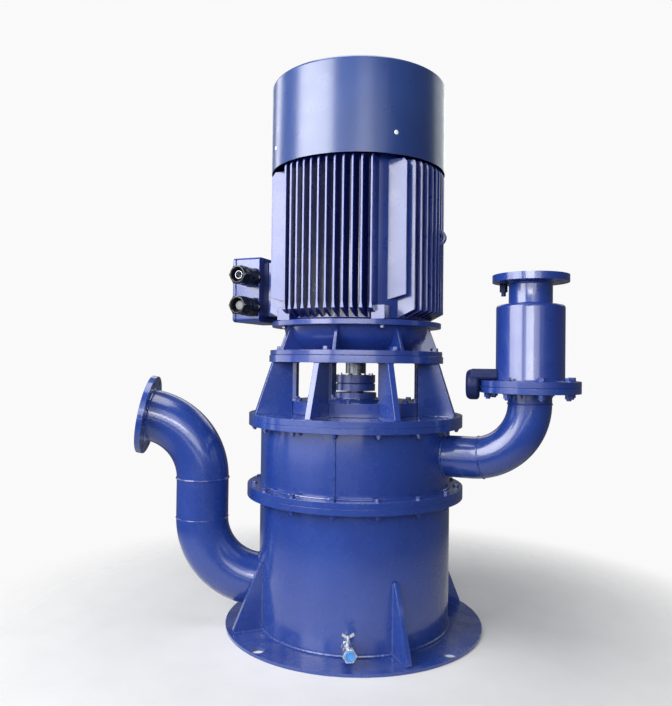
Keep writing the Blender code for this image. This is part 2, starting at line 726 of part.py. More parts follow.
def cable_glands():
    floor = GLAND_BORE[-1][1]
    profile = [(0.0, 0.0)] + GLAND_OUTSIDE + GLAND_BORE + [(0.0, floor)]
    for name, height in GLAND_ZS.items():
        place = along((GLAND_X, -BOX_BODY_HALF_Y - GAP, height), (0, -1, 0))
        turned_object(f"cable_gland_{name}", profile, black_plastic(), SHAFT_SIDES, place)


def lifting_eyes():
    inner = FRAME_CORE_R + GAP
    outline = [(inner, -EYE_R)]
    for step in range(EYE_STEPS + 1):
        angle = math.radians(-90 + 180 * step / EYE_STEPS)
        outline.append((EYE_X + EYE_R * math.cos(angle), EYE_R * math.sin(angle)))
    outline.append((inner, EYE_R))
    for name, sign, degrees in (("right", 1, 0.0), ("left", -1, 180.0)):
        place = Matrix.Translation((0, 0, EYE_Z)) @ upright(EYE_T, degrees)
        eye = finish(f"lifting_eye_{name}", extruded(outline, EYE_T), enamel(), place)
        pin = turned(ring_profile(0.0, EYE_HOLE_R, -EYE_T, EYE_T), SMALL_SIDES)
        centre = (sign * EYE_HOLE_X, 0, EYE_Z)
        cut(eye, guide(f"guide_eye_hole_{name}", pin, along(centre, (0, 1, 0))))


# Suction side
def suction_pipe():
    outward = polar(1.0, SUCTION_ANGLE)
    up = Vector((0, 0, 1))
    bend_start = SUCTION_RISER_R - SUCTION_BEND_R
    start = outward * PIPE_ROOT_R + up * SUCTION_AXIS_Z
    stations = [(start, outward)]
    first = outward * bend_start + up * SUCTION_AXIS_Z
    stations += bend_stations(first, outward, up, SUCTION_BEND_R, 90.0, BEND_STEPS)
    stations[-1] = (stations[-1][0] - up * GAP / 2, stations[-1][1])
    elbow = finish("suction_lower_elbow", pipe_along(stations, SUCTION_PIPE_R, SUCTION_BORE_R), enamel())
    cut(elbow, barrel_guide("guide_lower_barrel", 0.0, MID_Z))

    low = SUCTION_AXIS_Z + SUCTION_BEND_R + GAP / 2
    foot = outward * SUCTION_RISER_R
    riser = ring_profile(SUCTION_BORE_R, SUCTION_PIPE_R, low, SUCTION_RISER_TOP_Z - GAP / 2)
    turned_object("suction_riser", riser, enamel(), PIPE_SIDES, Matrix.Translation(foot))

    start = foot + up * (SUCTION_RISER_TOP_Z + GAP / 2)
    stations = bend_stations(start, up, outward, SUCTION_BEND_R, SUCTION_BEND_DEG, BEND_STEPS)
    upper = pipe_along(stations, SUCTION_PIPE_R, SUCTION_BORE_R)
    finish("suction_upper_elbow", upper, enamel())

    mouth, heading = stations[-1]
    place = along(mouth + heading * GAP, heading)
    flange = ring_profile(SUCTION_BORE_R, SUCTION_FLANGE_R, 0.0, SUCTION_FLANGE_T)
    made = turned_object("suction_flange", flange, enamel(), SIDES, place)
    centre = mouth + heading * (SUCTION_FLANGE_T / 2)
    holes = hole_guide("guide_suction_holes", centre, heading, SUCTION_BOLT_R, FLANGE_HOLES,
                       SUCTION_HOLE_R, 3 * SUCTION_FLANGE_T, FLANGE_HOLE_START)
    cut(made, holes)


# Discharge side
def discharge_pipe():
    outward = Vector((1, 0, 0))
    up = Vector((0, 0, 1))
    lower_face = DISCHARGE_JOINT_Z - DISCHARGE_FLANGE_T
    stations = [(outward * PIPE_ROOT_R + up * DISCHARGE_AXIS_Z, outward)]
    first = outward * (DISCHARGE_RISER_X - DISCHARGE_BEND_R) + up * DISCHARGE_AXIS_Z
    stations += bend_stations(first, outward, up, DISCHARGE_BEND_R, 90.0, BEND_STEPS)
    stations.append((outward * DISCHARGE_RISER_X + up * (lower_face - GAP), up))
    pipe = pipe_along(stations, DISCHARGE_PIPE_R, DISCHARGE_BORE_R)
    elbow = finish("discharge_elbow", pipe, enamel())
    cut(elbow, barrel_guide("guide_upper_barrel", MID_Z, TOP_Z))

    place = Matrix.Translation((DISCHARGE_RISER_X, 0, 0))
    flange = ring_profile(DISCHARGE_BORE_R, DISCHARGE_FLANGE_R, lower_face, DISCHARGE_JOINT_Z - GAP)
    turned_object("discharge_elbow_flange", flange, enamel(), SIDES, place)


def valve_boss():
    """A round boss beside the flange pair, with the arm that carries it from the body."""
    outward = polar(1.0, BOSS_ANGLE)
    centre = (DISCHARGE_RISER_X, 0, DISCHARGE_JOINT_Z)
    drum = turned(ring_profile(0.0, BOSS_R, DISCHARGE_FLANGE_R + SINK / 4, BOSS_REACH), SHAFT_SIDES)
    bmesh.ops.transform(drum, matrix=along(centre, outward), verts=drum.verts)
    arm_foot = DISCHARGE_JOINT_Z + DISCHARGE_FLANGE_T - SINK / 2
    arm_end = (BOSS_REACH - 2 * SINK, BOSS_ARM_HALF, arm_foot + BOSS_ARM_HEIGHT)
    arm = block((BOSS_ARM_ROOT, -BOSS_ARM_HALF, arm_foot), arm_end)
    turn = Matrix.Rotation(math.radians(BOSS_ANGLE), 4, "Z")
    bmesh.ops.transform(arm, matrix=Matrix.Translation((DISCHARGE_RISER_X, 0, 0)) @ turn, verts=arm.verts)
    return merged(drum, arm)


def check_valve():
    place = Matrix.Translation((DISCHARGE_RISER_X, 0, 0))
    low = DISCHARGE_JOINT_Z
    inner = VALVE_R - VALVE_WALL
    roof_at_neck, roof_at_wall = VALVE_ROOF
    floor_at_bore, floor_at_wall = VALVE_FLOOR_SLOPE
    floor = low + DISCHARGE_FLANGE_T
    profile = [(DISCHARGE_BORE_R, low), (DISCHARGE_FLANGE_R, low), (DISCHARGE_FLANGE_R, floor)]
    profile += [(VALVE_R, floor), (VALVE_R, VALVE_TOP_Z - VALVE_SHOULDER)]
    profile.append((VALVE_R - VALVE_CHAMFER, VALVE_TOP_Z - VALVE_CHAMFER))
    profile.append((VALVE_R - VALVE_SHOULDER, VALVE_TOP_Z))
    profile += [(NECK_BORE_R, VALVE_TOP_Z), (NECK_BORE_R, VALVE_TOP_Z - roof_at_neck)]
    profile += [(inner, VALVE_TOP_Z - roof_at_wall), (inner, floor + floor_at_wall)]
    profile.append((DISCHARGE_BORE_R, floor - floor_at_bore))
    valve = turned_object("check_valve_body", profile, enamel(), SIDES, place)
    cut(valve, guide("guide_valve_boss", valve_boss()), "UNION")

    foot = VALVE_TOP_Z + GAP
    neck = [(NECK_BORE_R, foot), (NECK_R, foot), (NECK_R, OUTLET_FLANGE_Z)]
    neck += [(OUTLET_FLANGE_R, OUTLET_FLANGE_Z), (OUTLET_FLANGE_R, OUTLET_TOP_Z)]
    neck += [(NECK_BORE_R, OUTLET_TOP_Z)]
    outlet = turned_object("discharge_outlet", neck, enamel(), SIDES, place)
    thickness = OUTLET_TOP_Z - OUTLET_FLANGE_Z
    centre = (DISCHARGE_RISER_X, 0, OUTLET_TOP_Z - thickness / 2)
    holes = hole_guide("guide_outlet_holes", centre, (0, 0, 1), OUTLET_BOLT_R, FLANGE_HOLES,
                       OUTLET_HOLE_R, 2 * thickness, FLANGE_HOLE_START)
    cut(outlet, holes)


# Drain valve
def drain_valve():
    """A small ball valve on a nipple, plugged, with a butterfly handle on its stem."""
    outward = polar(1.0, DRAIN_HEADING)
    seat = polar(DRAIN_SEAT_R, DRAIN_ANGLE)
    axis = along(seat + Vector((0, 0, DRAIN_Z)), outward)
    end = DRAIN_REACH
    lip = SINK / 4
    hex_foot = end - DRAIN_HEX_LENGTH
    socket_r = DRAIN_PLUG_R + GAP
    socket = end - DRAIN_PLUG_DEPTH
    body = [(0.0, -DRAIN_NIPPLE), (DRAIN_PIPE_R, -DRAIN_NIPPLE), (DRAIN_PIPE_R, -DRAIN_BARREL_FOOT - lip)]
    body += [(DRAIN_BARREL_R, -DRAIN_BARREL_FOOT), (DRAIN_BARREL_R, -DRAIN_SHOULDER)]
    body += [(DRAIN_BODY_R, -DRAIN_BODY_HALF), (DRAIN_BODY_R, DRAIN_BODY_HALF)]
    body += [(DRAIN_BARREL_R, DRAIN_SHOULDER), (DRAIN_BARREL_R, hex_foot - lip)]
    body += [(DRAIN_HEX_R, hex_foot), (DRAIN_HEX_R, end), (socket_r, end), (socket_r, socket), (0.0, socket)]
    valve = turned_object("drain_valve_body", body, bright_steel(), SMALL_SIDES, axis)
    cut(valve, bpy.data.objects["guide_lower_barrel"])
    neck_top = DRAIN_Z + DRAIN_NECK
    bore_foot = DRAIN_Z + DRAIN_STEM_DEPTH
    place = Matrix.Translation(seat)
    neck = turned(ring_profile(0.0, DRAIN_NECK_R, DRAIN_Z, neck_top), SMALL_SIDES)
    cut(valve, guide("guide_stem_neck", neck, place), "UNION")
    bore = turned(ring_profile(0.0, DRAIN_STEM_R + GAP, bore_foot, neck_top + SINK), SMALL_SIDES)
    cut(valve, guide("guide_stem_bore", bore, place))

    plug = [(0.0, socket + GAP), (DRAIN_PLUG_R, socket + GAP), (DRAIN_PLUG_R, end - lip)]
    plug += [(DRAIN_PLUG_R - 2 * lip, end + lip), (0.0, end + lip)]
    turned_object("drain_valve_plug", plug, blue_cap(), SMALL_SIDES, axis)

    hub = neck_top + DRAIN_HUB_RISE
    hub_top = hub + DRAIN_HUB_HEIGHT
    stem = [(0.0, bore_foot + GAP), (DRAIN_STEM_R, bore_foot + GAP), (DRAIN_STEM_R, hub)]
    stem += [(DRAIN_HUB_R, hub), (DRAIN_HUB_R, hub_top), (0.0, hub_top)]
    handle = turned_object("drain_valve_handle", stem, bright_steel(), SMALL_SIDES, place)
    outline = [(-x, z) for x, z in DRAIN_HANDLE_WING[:1]] + DRAIN_HANDLE_WING
    outline += [(-x, z) for x, z in reversed(DRAIN_HANDLE_WING[1:])]
    wings = extruded(outline, DRAIN_HANDLE_T)
    stand = upright(DRAIN_HANDLE_T, DRAIN_HEADING + 90.0)
    wing_place = Matrix.Translation(seat + Vector((0, 0, hub))) @ stand
    cut(handle, guide("guide_handle_wings", wings, wing_place), "UNION")


def clear_scene():
    for item in list(bpy.data.objects):
        bpy.data.objects.remove(item, do_unlink=True)


def main():
    clear_scene()
    base_plate()
    foot_ribs()
    barrels()
    barrel_flanges()
    lantern()
    bearing_housing()
    coupling()
    end_shield()
    motor_frame()
    fan_cowl()
    cooling_fan()
    terminal_box()
    cable_glands()
    lifting_eyes()
    suction_pipe()
    discharge_pipe()
    check_valve()
    drain_valve()


main()
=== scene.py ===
"""Looks of the vertical self-priming pump: finer pieces, enamel, steel, lights and camera.

Metres, +Z up, in the model's own frame.  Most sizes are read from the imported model's nodes.
"""

import random
from math import atan2, cos, pi, radians, sin, sqrt

import bmesh
import bpy
from mathutils import Matrix, Vector
from mathutils.geometry import interpolate_bezier


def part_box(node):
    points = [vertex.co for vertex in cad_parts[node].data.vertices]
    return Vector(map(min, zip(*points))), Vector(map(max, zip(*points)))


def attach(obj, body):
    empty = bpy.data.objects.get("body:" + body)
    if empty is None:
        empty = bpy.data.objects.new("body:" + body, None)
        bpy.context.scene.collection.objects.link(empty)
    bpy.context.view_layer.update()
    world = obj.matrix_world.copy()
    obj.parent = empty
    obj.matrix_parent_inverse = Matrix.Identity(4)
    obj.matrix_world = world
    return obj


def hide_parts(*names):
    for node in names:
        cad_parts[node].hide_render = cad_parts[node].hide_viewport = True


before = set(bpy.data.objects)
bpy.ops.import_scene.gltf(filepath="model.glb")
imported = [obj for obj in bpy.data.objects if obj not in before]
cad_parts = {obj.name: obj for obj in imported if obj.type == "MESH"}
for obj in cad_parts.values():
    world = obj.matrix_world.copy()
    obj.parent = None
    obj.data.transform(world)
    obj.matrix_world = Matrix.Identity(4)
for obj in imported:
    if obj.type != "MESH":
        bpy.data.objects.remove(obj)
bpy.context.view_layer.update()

IDENTITY = Matrix.Identity(4)
UP = Vector((0.0, 0.0, 1.0))
SHARP_DEGREES = 32.0
GAP = 0.0003  # between pieces that meet face to face
ROUND = 128  # sides of large round pieces
FLANGED = 96
MEDIUM = 64
FINE = 48
PLAIN = 40
SMALL = 24
SEED = 7
QUARTERS = [0.0, 90.0, 180.0, 270.0]
CORNERS = [(x_sign, y_sign) for x_sign in (-1, 1) for y_sign in (-1, 1)]
EDGE = 0.0012  # rounding of most edges
BOLT_EDGE = 0.0005
shift = Matrix.Translation


def low(node):
    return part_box(node)[0]


def high(node):
    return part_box(node)[1]


# Sizes, read from the frame where it gives them.  MID_ are the flanges between the barrels,
# TOP_ those under the lantern, HUB_ the coupling, IN_ the suction side, OUT_ the discharge side.
BASE_R, _, BASE_T = high("base_plate")
ANCHOR_PITCH_R = 0.444
ANCHOR_HOLE_R = 0.022
ANCHOR_START = -112.5
BARREL_R = high("lower_barrel").x
BARREL_WALL = 0.012
MID_Z = low("upper_barrel").z
MID_R = high("lower_barrel_flange").x
MID_FOOT_Z = low("lower_barrel_flange").z
MID_TOP_Z = high("upper_barrel_foot_flange").z
TOP_FOOT_Z = low("upper_barrel_top_flange").z
TOP_R = high("upper_barrel_top_flange").x
TOP_Z = low("lantern_base_plate").z
FLOOR_Z = high("lantern_base_plate").z
FLANGE_BOLTS = 0.3735, 16, 11.25  # a bolt circle: radius, count, first angle
FLANGE_EDGE = 0.0010
STUD_RISE = 0.002
SEAM_ANGLE = -78.8  # the upper barrel's upright weld

GUSSET_START = -45.0
GUSSET_T = 0.018
GUSSET_R = 0.455
GUSSET_TOE = 0.012
GUSSET_HEAD = 0.010
GUSSET_TOP_Z = high("base_gusset_1").z

RING_FOOT_Z = low("lantern_top_ring").z
RING_R, _, RING_TOP_Z = high("lantern_top_ring")
RING_INNER_R = 0.200
RIBS = 8
RIB_START = -92.0
RIB_T = 0.021
RIB_INNER_R = 0.2475
RIB_FOOT_R = 0.384
RIB_HEAD_R = 0.322

HOUSING_R, _, HOUSING_BOSS_Z = high("bearing_housing")
HOUSING_TOP_Z = 0.817
HOUSING_BOSS_R = 0.078
COVER_BOLTS = 0.222, 12, 15.0
SEAL_BOLTS = 0.093, 6, 0.0
PUMP_SHAFT_R = 0.030
HUB_R, _, HUB_SPLIT_Z = high("coupling_lower_hub")
HUB_FOOT_Z = 0.8535
HUB_TOP_Z = high("coupling_upper_hub").z
MOTOR_SHAFT_R, _, MOTOR_SHAFT_TOP_Z = high("motor_shaft")
HUB_BOLTS = 0.057, 6, 20.0

MOTOR_FLANGE_R, _, SHIELD_TOP_Z = high("motor_end_shield")
MOTOR_FLANGE_Z = low("motor_end_shield").z
MOTOR_FLANGE_T = 0.018
SHIELD_BOWL = [(0.215, 1.0), (0.238, 1.020), (0.258, 1.044), (0.270, 1.085)]
SHIELD_RING_Z = SHIELD_BOWL[-1][1]
SHIELD_RING_R = 0.3145
SHIELD_RIBS = 8
SHIELD_RIB_START = -82.0
SHIELD_RIB_T = 0.012
SHIELD_RIB_INNER_R = 0.190
SHIELD_RIB_FOOT_R = 0.304
SHIELD_RIB_HEAD_R = 0.272
MOTOR_BOLTS = 0.298, 8, 2.5

FRAME_Z = 1.104
FIN_TOP_Z = 1.6495
CORE_R = 0.272
FIN_R = 0.3205
FIN_PITCH = 0.02925
FIN_T = 0.0072
FINS_PER_SIDE = 12
OUTER_FIN = (FINS_PER_SIDE - 1) / 2 * FIN_PITCH + 0.0030
FIN_FOOT_RISE = 0.006
FIN_FOOT_SLOPE = 0.6
FIN_FLARE = 0.014  # thickness of a fin's spread foot
FIN_FLARE_HEIGHT = 0.024
LUG_X = (0.153, 0.201)
LUG_Y = (0.180, 0.250)
LUG_Z = 1.151
SIDE_FIN_X = (0.170, 0.256)
SIDE_FIN_Y = 0.191
SIDE_FIN_T = 0.008
SIDE_FIN_Z = 1.176
SKIN_DEGREES = 16.5
REAR_SHIELD_R = 0.262
REAR_SHIELD_Z = high("motor_frame").z
COWL_LUG_R = 0.200  # four lugs inside the cowl carry it
COWL_LUG_HALF = 0.020
COWL_LUG_Z = 1.690

COWL_R, _, COWL_TOP_Z = high("fan_cowl")
COWL_SIDES = 160
COWL_WALL = 0.003
COWL_Z = low("fan_cowl").z
COWL_EDGE_R = 0.010
COWL_SCREW_Z = 1.725
SCREW_R = 0.0085
SCREW_RISE = 0.0035
SCREW_RIM = 0.0015
SCREW_SLOT_R = 0.0018
SLOTS = 12
SLOT_INNER_R = 0.075
SLOT_OUTER_R = 0.205
SLOT_START = 15.0
SLOT_HALF = 0.013
SLOT_TAPER = 0.7
SLOT_END = 0.004  # how far a slot's outer end is rounded

BOX_FACE_X = -0.349
BOX_PAD_X = -0.3225
BOX_PAD_ROOT_X = -0.250
BOX_OUTER_X = low("terminal_box_lid").x
BOX_LID_T = 0.016
BOX_HALF_Y = 0.125
BOX_BODY_HALF_Y = 0.124
BOX_Z = (low("terminal_box_lid").z, high("terminal_box_lid").z)
BOX_CORNER_R = 0.014
BOX_NECK_HALF_Y = 0.098
BOX_NECK_INSET = 0.022
LID_SCREW_Y = 0.110
LID_SCREW_INSET = 0.015
GASKET_T = 0.0024
GASKET_INSET = 0.0015
GLAND_X = -0.377
GLAND_ZS = {"upper": 1.276, "lower": 1.164}
GLAND_LENGTH = 0.115
GLAND_COLLAR = 0.0348  # half across flats
GLAND_BODY_R = 0.0355
GLAND_NUT = 0.0325  # half across flats
GLAND_MOUTH_R = 0.0275
GLAND_PIT = 0.078

EYE_Z = 1.407
EYE_X = 0.3115
EYE_R = 0.0300
EYE_ROOT = 0.048
EYE_HOLE_X = 0.3205
EYE_HOLE_R = 0.0110
EYE_T = 0.018

IN_ANGLE = -153.0
IN_PIPE_R = 0.0945
IN_BORE_R = 0.0865
IN_BEND_R = 0.232
IN_AXIS_Z = 0.153
IN_RISER_R = 0.5625
IN_RISER_TOP_Z = 0.528
IN_BEND_DEG = 80.0
IN_FLANGE_R = 0.143
IN_FLANGE_T = 0.022
IN_BOLT_R = 0.123
IN_FACE_R = 0.1075

OUT_PIPE_R = 0.0725
OUT_BORE_R = 0.0655
OUT_BEND_R = 0.194
OUT_AXIS_Z = 0.632
OUT_X = 0.634
OUT_FLANGE_R = 0.165
OUT_FLANGE_T = 0.0205
OUT_JOINT_Z = 0.883
VALVE_R = 0.113
VALVE_TOP_Z = high("check_valve_body").z
VALVE_SHOULDER = 0.012
BOSS_ANGLE = 190.0
BOSS_R = 0.052
BOSS_RISE = 0.005
BOSS_ROUNDING = 0.018
BOSS_REACH = 0.212
BOSS_HOLE = 4  # the flange hole under the boss's arm
BOSS_ARM_ROOT = 0.100
BOSS_ARM_HALF = 0.046
BOSS_ARM_HEIGHT = 0.038
NECK_R = 0.072
NECK_BORE_R = 0.0625
OUTLET_FLANGE_Z = 1.235
OUTLET_FLANGE_R = 0.1265
OUTLET_TOP_Z = high("discharge_outlet").z
OUTLET_BOLT_R = 0.105
OUTLET_FACE_R = 0.0915
HOLE_R = 0.009
FLANGE_HOLES = 8
FLANGE_HOLE_START = 22.5
OUT_BOLTS = 0.1405, FLANGE_HOLES, FLANGE_HOLE_START
OUT_WELD_STATION = 4
LEFT_BOLT_ANGLE = 157.5  # the outlet flange's one bolt
LEFT_BOLT_DROP = 0.040

DRAIN_SEAT_R = 0.405
DRAIN_ANGLE = -70.1
DRAIN_HEADING = -60.0
DRAIN_Z = 0.056
DRAIN_NIPPLE = 0.062
DRAIN_REACH = 0.050
DRAIN_SOCKET = 0.038
DRAIN_PLUG_R = 0.0169
DRAIN_NECK_Z = DRAIN_Z + 0.030

# Radii of the weld beads, and their form
FOOT_BEAD = 0.0062
GUSSET_BEAD = 0.0038
FLANGE_BEAD = 0.0042
SEAM_BEAD = 0.0048
RIB_BEAD = 0.0034
IN_BEADS = {"saddle": 0.0060, "lower": 0.0018, "upper": 0.0036, "flange": 0.0046}
OUT_BEADS = {"saddle": 0.0055, "pipe": 0.0028, "flange": 0.0048}
BEAD_STEP = 0.005
BEAD_SIDES = 8
BEAD_UNEVEN = 0.16

# The photograph's camera
CAMERA_PLACE = Vector((0.95176, -2.35570, 0.95885))
CAMERA_FORWARD = Vector((-0.40181733, 0.91562244, 0.01335608))
CAMERA_ROLL = 0.68193
CAMERA_LENS = 34.505


# Shapes
def polar(radius, degrees, height=0.0):
    angle = radians(degrees)
    return Vector((radius * cos(angle), radius * sin(angle), height))


def raised(height):
    return shift((0.0, 0.0, height))


def along(point, direction):
    """A placement that sends +Z along a direction from a point."""
    return shift(point) @ Vector(direction).to_track_quat("Z", "Y").to_matrix().to_4x4()


def spin(degrees):
    return Matrix.Rotation(radians(degrees), 4, "Z")


def arc(centre, radius, start, end, steps, height=None):
    """Points of a circle's arc, or of an ellipse's where a second radius is given."""
    height = radius if height is None else height
    turns = [radians(start + (end - start) * step / steps) for step in range(steps + 1)]
    return [(centre[0] + radius * cos(turn), centre[1] + height * sin(turn)) for turn in turns]


def smooth_curve(knots, steps):
    """Points of the smooth curve (Catmull-Rom) that runs through the knots."""
    knots = [Vector(knot) for knot in (knots[0], *knots, knots[-1])]
    points = [knots[0]]
    for before, start, end, after in zip(knots, knots[1:], knots[2:], knots[3:]):
        handles = start + (end - before) / 6, end - (after - start) / 6
        points += interpolate_bezier(start, *handles, end, steps + 1)[1:]
    return points


def rounded_outline(corner, opposite, radius, steps=6):
    """A rectangle with round corners, anticlockwise from its upper right."""
    (x_low, y_low), (x_high, y_high) = corner, opposite
    right, left, top, bottom = x_high - radius, x_low + radius, y_high - radius, y_low + radius
    outline = []
    for turn, centre in enumerate(((right, top), (left, top), (left, bottom), (right, bottom))):
        outline += arc(centre, radius, 90 * turn, 90 * turn + 90, steps)
    return outline


def at(value, angle):
    """A number as it is, or what a function gives at an angle."""
    return value(angle) if callable(value) else value


def formed(profile, sides):
    """A closed bmesh from rings (radius, height); either may be a function of the angle."""
    shape = bmesh.new()
    turns = [2 * pi * side / sides for side in range(sides)]
    rings = []
    for radius, height in profile:
        if radius == 0.0:
            rings.append([shape.verts.new((0.0, 0.0, height))])
            continue
        spots = [(at(radius, turn), turn, at(height, turn)) for turn in turns]
        rings.append([shape.verts.new((reach * cos(turn), reach * sin(turn), rise))
                      for reach, turn, rise in spots])
    for ring, following in zip(rings, rings[1:] + rings[:1]):
        if len(ring) == 1 and len(following) == 1:
            continue
        for side in range(sides):
            other = (side + 1) % sides
            corners = [ring[side % len(ring)], ring[other % len(ring)]]
            corners += [following[other % len(following)], following[side % len(following)]]
            shape.faces.new(list(dict.fromkeys(corners)))
    bmesh.ops.recalc_face_normals(shape, faces=shape.faces)
    return shape


def skinned(shape, rings, closed=False):
    """Faces from ring to ring of a bmesh's vertices, and end caps unless the rings close."""
    pairs = list(zip(rings, rings[1:]))
    if closed:
        pairs.append((rings[-1], rings[0]))
    else:
        shape.faces.new(list(reversed(rings[0])))
        shape.faces.new(rings[-1])
    for near, far in pairs:
        for side in range(len(near)):
            other = (side + 1) % len(near)
            shape.faces.new([near[side], near[other], far[other], far[side]])
    bmesh.ops.recalc_face_normals(shape, faces=shape.faces)
    return shape


def disc(outer, foot, top, inner=0.0, sides=MEDIUM):
    return formed([(inner, foot), (outer, foot), (outer, top), (inner, top)], sides)


def moved(shape, place):
    bmesh.ops.transform(shape, matrix=place, verts=shape.verts)
    return shape


def extruded(outline, depth):
    shape = bmesh.new()
    return skinned(shape, [[shape.verts.new((x, y, z)) for x, y in outline] for z in (0.0, depth)])


def block(corner, opposite):
    (x0, x1), (y0, y1), (z0, z1) = (sorted(pair) for pair in zip(corner, opposite))
    return moved(extruded([(x0, y0), (x1, y0), (x1, y1), (x0, y1)], z1 - z0), raised(z0))


def standing_plate(outline, thickness, degrees):
    """A plate whose (radius, height) outline stands in the radial plane at an angle."""
    stand = Matrix.Rotation(radians(90), 4, "X") @ raised(-thickness / 2)
    return moved(extruded(outline, thickness), spin(degrees) @ stand)


def mesh_of(name, shape):
    """A mesh from a bmesh, which is used up."""
    mesh = bpy.data.meshes.new(name)
    shape.to_mesh(mesh)
    shape.free()
    return mesh


def added(name, data):
    """A new object in the scene."""
    made = bpy.data.objects.new(name, data)
    bpy.context.scene.collection.objects.link(made)
    return made


def joined(shapes):
    """One bmesh that holds several shapes, which are used up."""
    whole = bmesh.new()
    for shape in shapes:
        mesh = mesh_of("joining", shape)
        whole.from_mesh(mesh)
        bpy.data.meshes.remove(mesh)
    return whole


def copies(template, places):
    """One bmesh with a copy of the template, which is used up, at each place."""
    shapes = [moved(template.copy(), place) for place in places]
    template.free()
    return joined(shapes)


def bored(shape, guide):
    """The shape with the guide cut out of it."""
    made = [added(name, mesh_of(name, part)) for name, part in (("bored", shape), ("guide", guide))]
    modifier = made[0].modifiers.new("bore", "BOOLEAN")
    modifier.operation = "DIFFERENCE"
    modifier.solver = "EXACT"
    modifier.object = made[1]
    result = bmesh.new()
    result.from_object(made[0], bpy.context.evaluated_depsgraph_get())
    for item in made:
        mesh = item.data
        bpy.data.objects.remove(item, do_unlink=True)
        bpy.data.meshes.remove(mesh)
    return result


def piece(name, shape, surface, node=None, body="pump", edge=0.0, steps=2):
    """A piece of the scene from a bmesh, with its sharp edges rounded, riding on a body."""
    mesh = mesh_of(name, shape)
    mesh.materials.append(surface)
    mesh.shade_smooth()
    mesh.set_sharp_from_angle(angle=radians(SHARP_DEGREES))
    made = added(name, mesh)
    if edge > 0.0:
        rounding = made.modifiers.new("edges", "BEVEL")
        rounding.width = edge
        rounding.segments = steps
        rounding.limit_method = "ANGLE"
        rounding.angle_limit = radians(SHARP_DEGREES)
        rounding.harden_normals = True
    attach(made, body)
    if node:
        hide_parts(node)


# Pipes and weld beads
def circle(shape, centre, across, rise, radius, sides):
    """New vertices on the circle that two unit vectors span."""
    turns = [2 * pi * side / sides for side in range(sides)]
    return [shape.verts.new(centre + radius * (across * cos(turn) + rise * sin(turn)))
            for turn in turns]


def pipe_along(stations, outer, inner):
    """A bent tube. Each station is (centre, direction); the path stays in one plane."""
    shape = bmesh.new()
    normal = stations[0][1].cross(stations[-1][1]).normalized()
    rings = []
    for radius, path in ((outer, stations), (inner, stations[::-1])):
        for centre, direction in path:
            across = direction.cross(normal).normalized()
            rings.append(circle(shape, centre, across, normal, radius, MEDIUM))
    return skinned(shape, rings, closed=True)


def bend(start, heading, towards, radius, degrees, steps=28):
    """Stations along a bend that starts at a point, heads one way and turns towards another."""
    centre = start + towards * radius
    stations = []
    for step in range(steps + 1):
        angle = radians(degrees) * step / steps
        spot = centre - towards * radius * cos(angle) + heading * radius * sin(angle)
        stations.append((spot, heading * cos(angle) + towards * sin(angle)))
    return stations


def bead(points, size, closed=False):
    """A weld bead: an uneven round ridge along a line of points."""
    draw = random.Random(SEED)
    shape = bmesh.new()
    rings = []
    for index, point in enumerate(points):
        before = points[index - 1] if closed or index else point
        after = points[(index + 1) % len(points)] if closed or index < len(points) - 1 else point
        heading = (after - before).normalized()
        upright = abs(heading.z) > 0.95
        across = (heading.orthogonal() if upright else heading.cross(UP)).normalized()
        wave = draw.random() - 0.5 + sin(index * 2.1) / 2
        radius = size * (1.0 + BEAD_UNEVEN * wave)
        rings.append(circle(shape, point, across, across.cross(heading), radius, BEAD_SIDES))
    return skinned(shape, rings, closed)


def ring_bead(radius, size, place):
    count = max(48, int(2 * pi * radius / BEAD_STEP))
    return bead([place @ polar(radius, 360.0 * index / count) for index in range(count)], size, closed=True)


def line_bead(start, end, size, spacing=BEAD_STEP):
    count = max(4, int((end - start).length / spacing))
    return bead([start.lerp(end, index / count) for index in range(count + 1)], size)


def plate_beads(lines, half, degrees, size):
    """Welds along both sides of a standing plate, on lines of two (radius, height) points."""
    turn = spin(degrees)
    return [line_bead(*(turn @ Vector((reach, side, height)) for reach, height in line), size)
            for side in (-half, half) for line in lines]


def plates(name, node, outline, thickness, start, count, edge, lines, size):
    """Standing plates round the pump, each a piece of its own; gives back their welds."""
    welds = []
    for number in range(count):
        degrees = start + 360.0 * number / count
        plate = standing_plate(outline, thickness, degrees)
        piece(f"fine_{name}_{number + 1}", plate, PLATE, f"{node}_{number + 1}", edge=edge, steps=3)
        welds += plate_beads(lines, thickness / 2, degrees, size)
    return welds


def saddle_bead(pipe_r, axis_z, degrees, size):
    """The weld where a level pipe meets the barrel's side."""
    points = []
    count = int(2 * pi * pipe_r / BEAD_STEP)
    for index in range(count):
        spot = polar(pipe_r, 360.0 * index / count)
        outward = sqrt(BARREL_R ** 2 - spot.x ** 2)
        points.append(spin(degrees) @ Vector((outward, spot.x, axis_z + spot.y)))
    return bead(points, size, closed=True)


# Fasteners
BOLT_SIZES = {  # half across flats, head, nut, washer radius, washer, thread radius
    "m16": (0.0120, 0.0100, 0.0130, 0.0150, 0.0025, 0.0080),
    "m12": (0.0090, 0.0075, 0.0100, 0.0120, 0.0020, 0.0060),
    "m8": (0.0065, 0.0053, 0.0065, 0.0080, 0.0015, 0.0040),
}
CHAMFER_SHARE = 0.97  # a hexagon's turned edge, as a share of half its width
CHAMFER_SLOPE = 0.5
THREAD_END = 0.0015
NUT_PROUD = 0.006  # how far a bolt's end stands out of its nut


def hexagon(flat):
    """The radius of a hexagon at an angle, from half its width across flats."""
    sixth = pi / 3
    return lambda angle: flat / cos((angle % sixth) - sixth / 2)


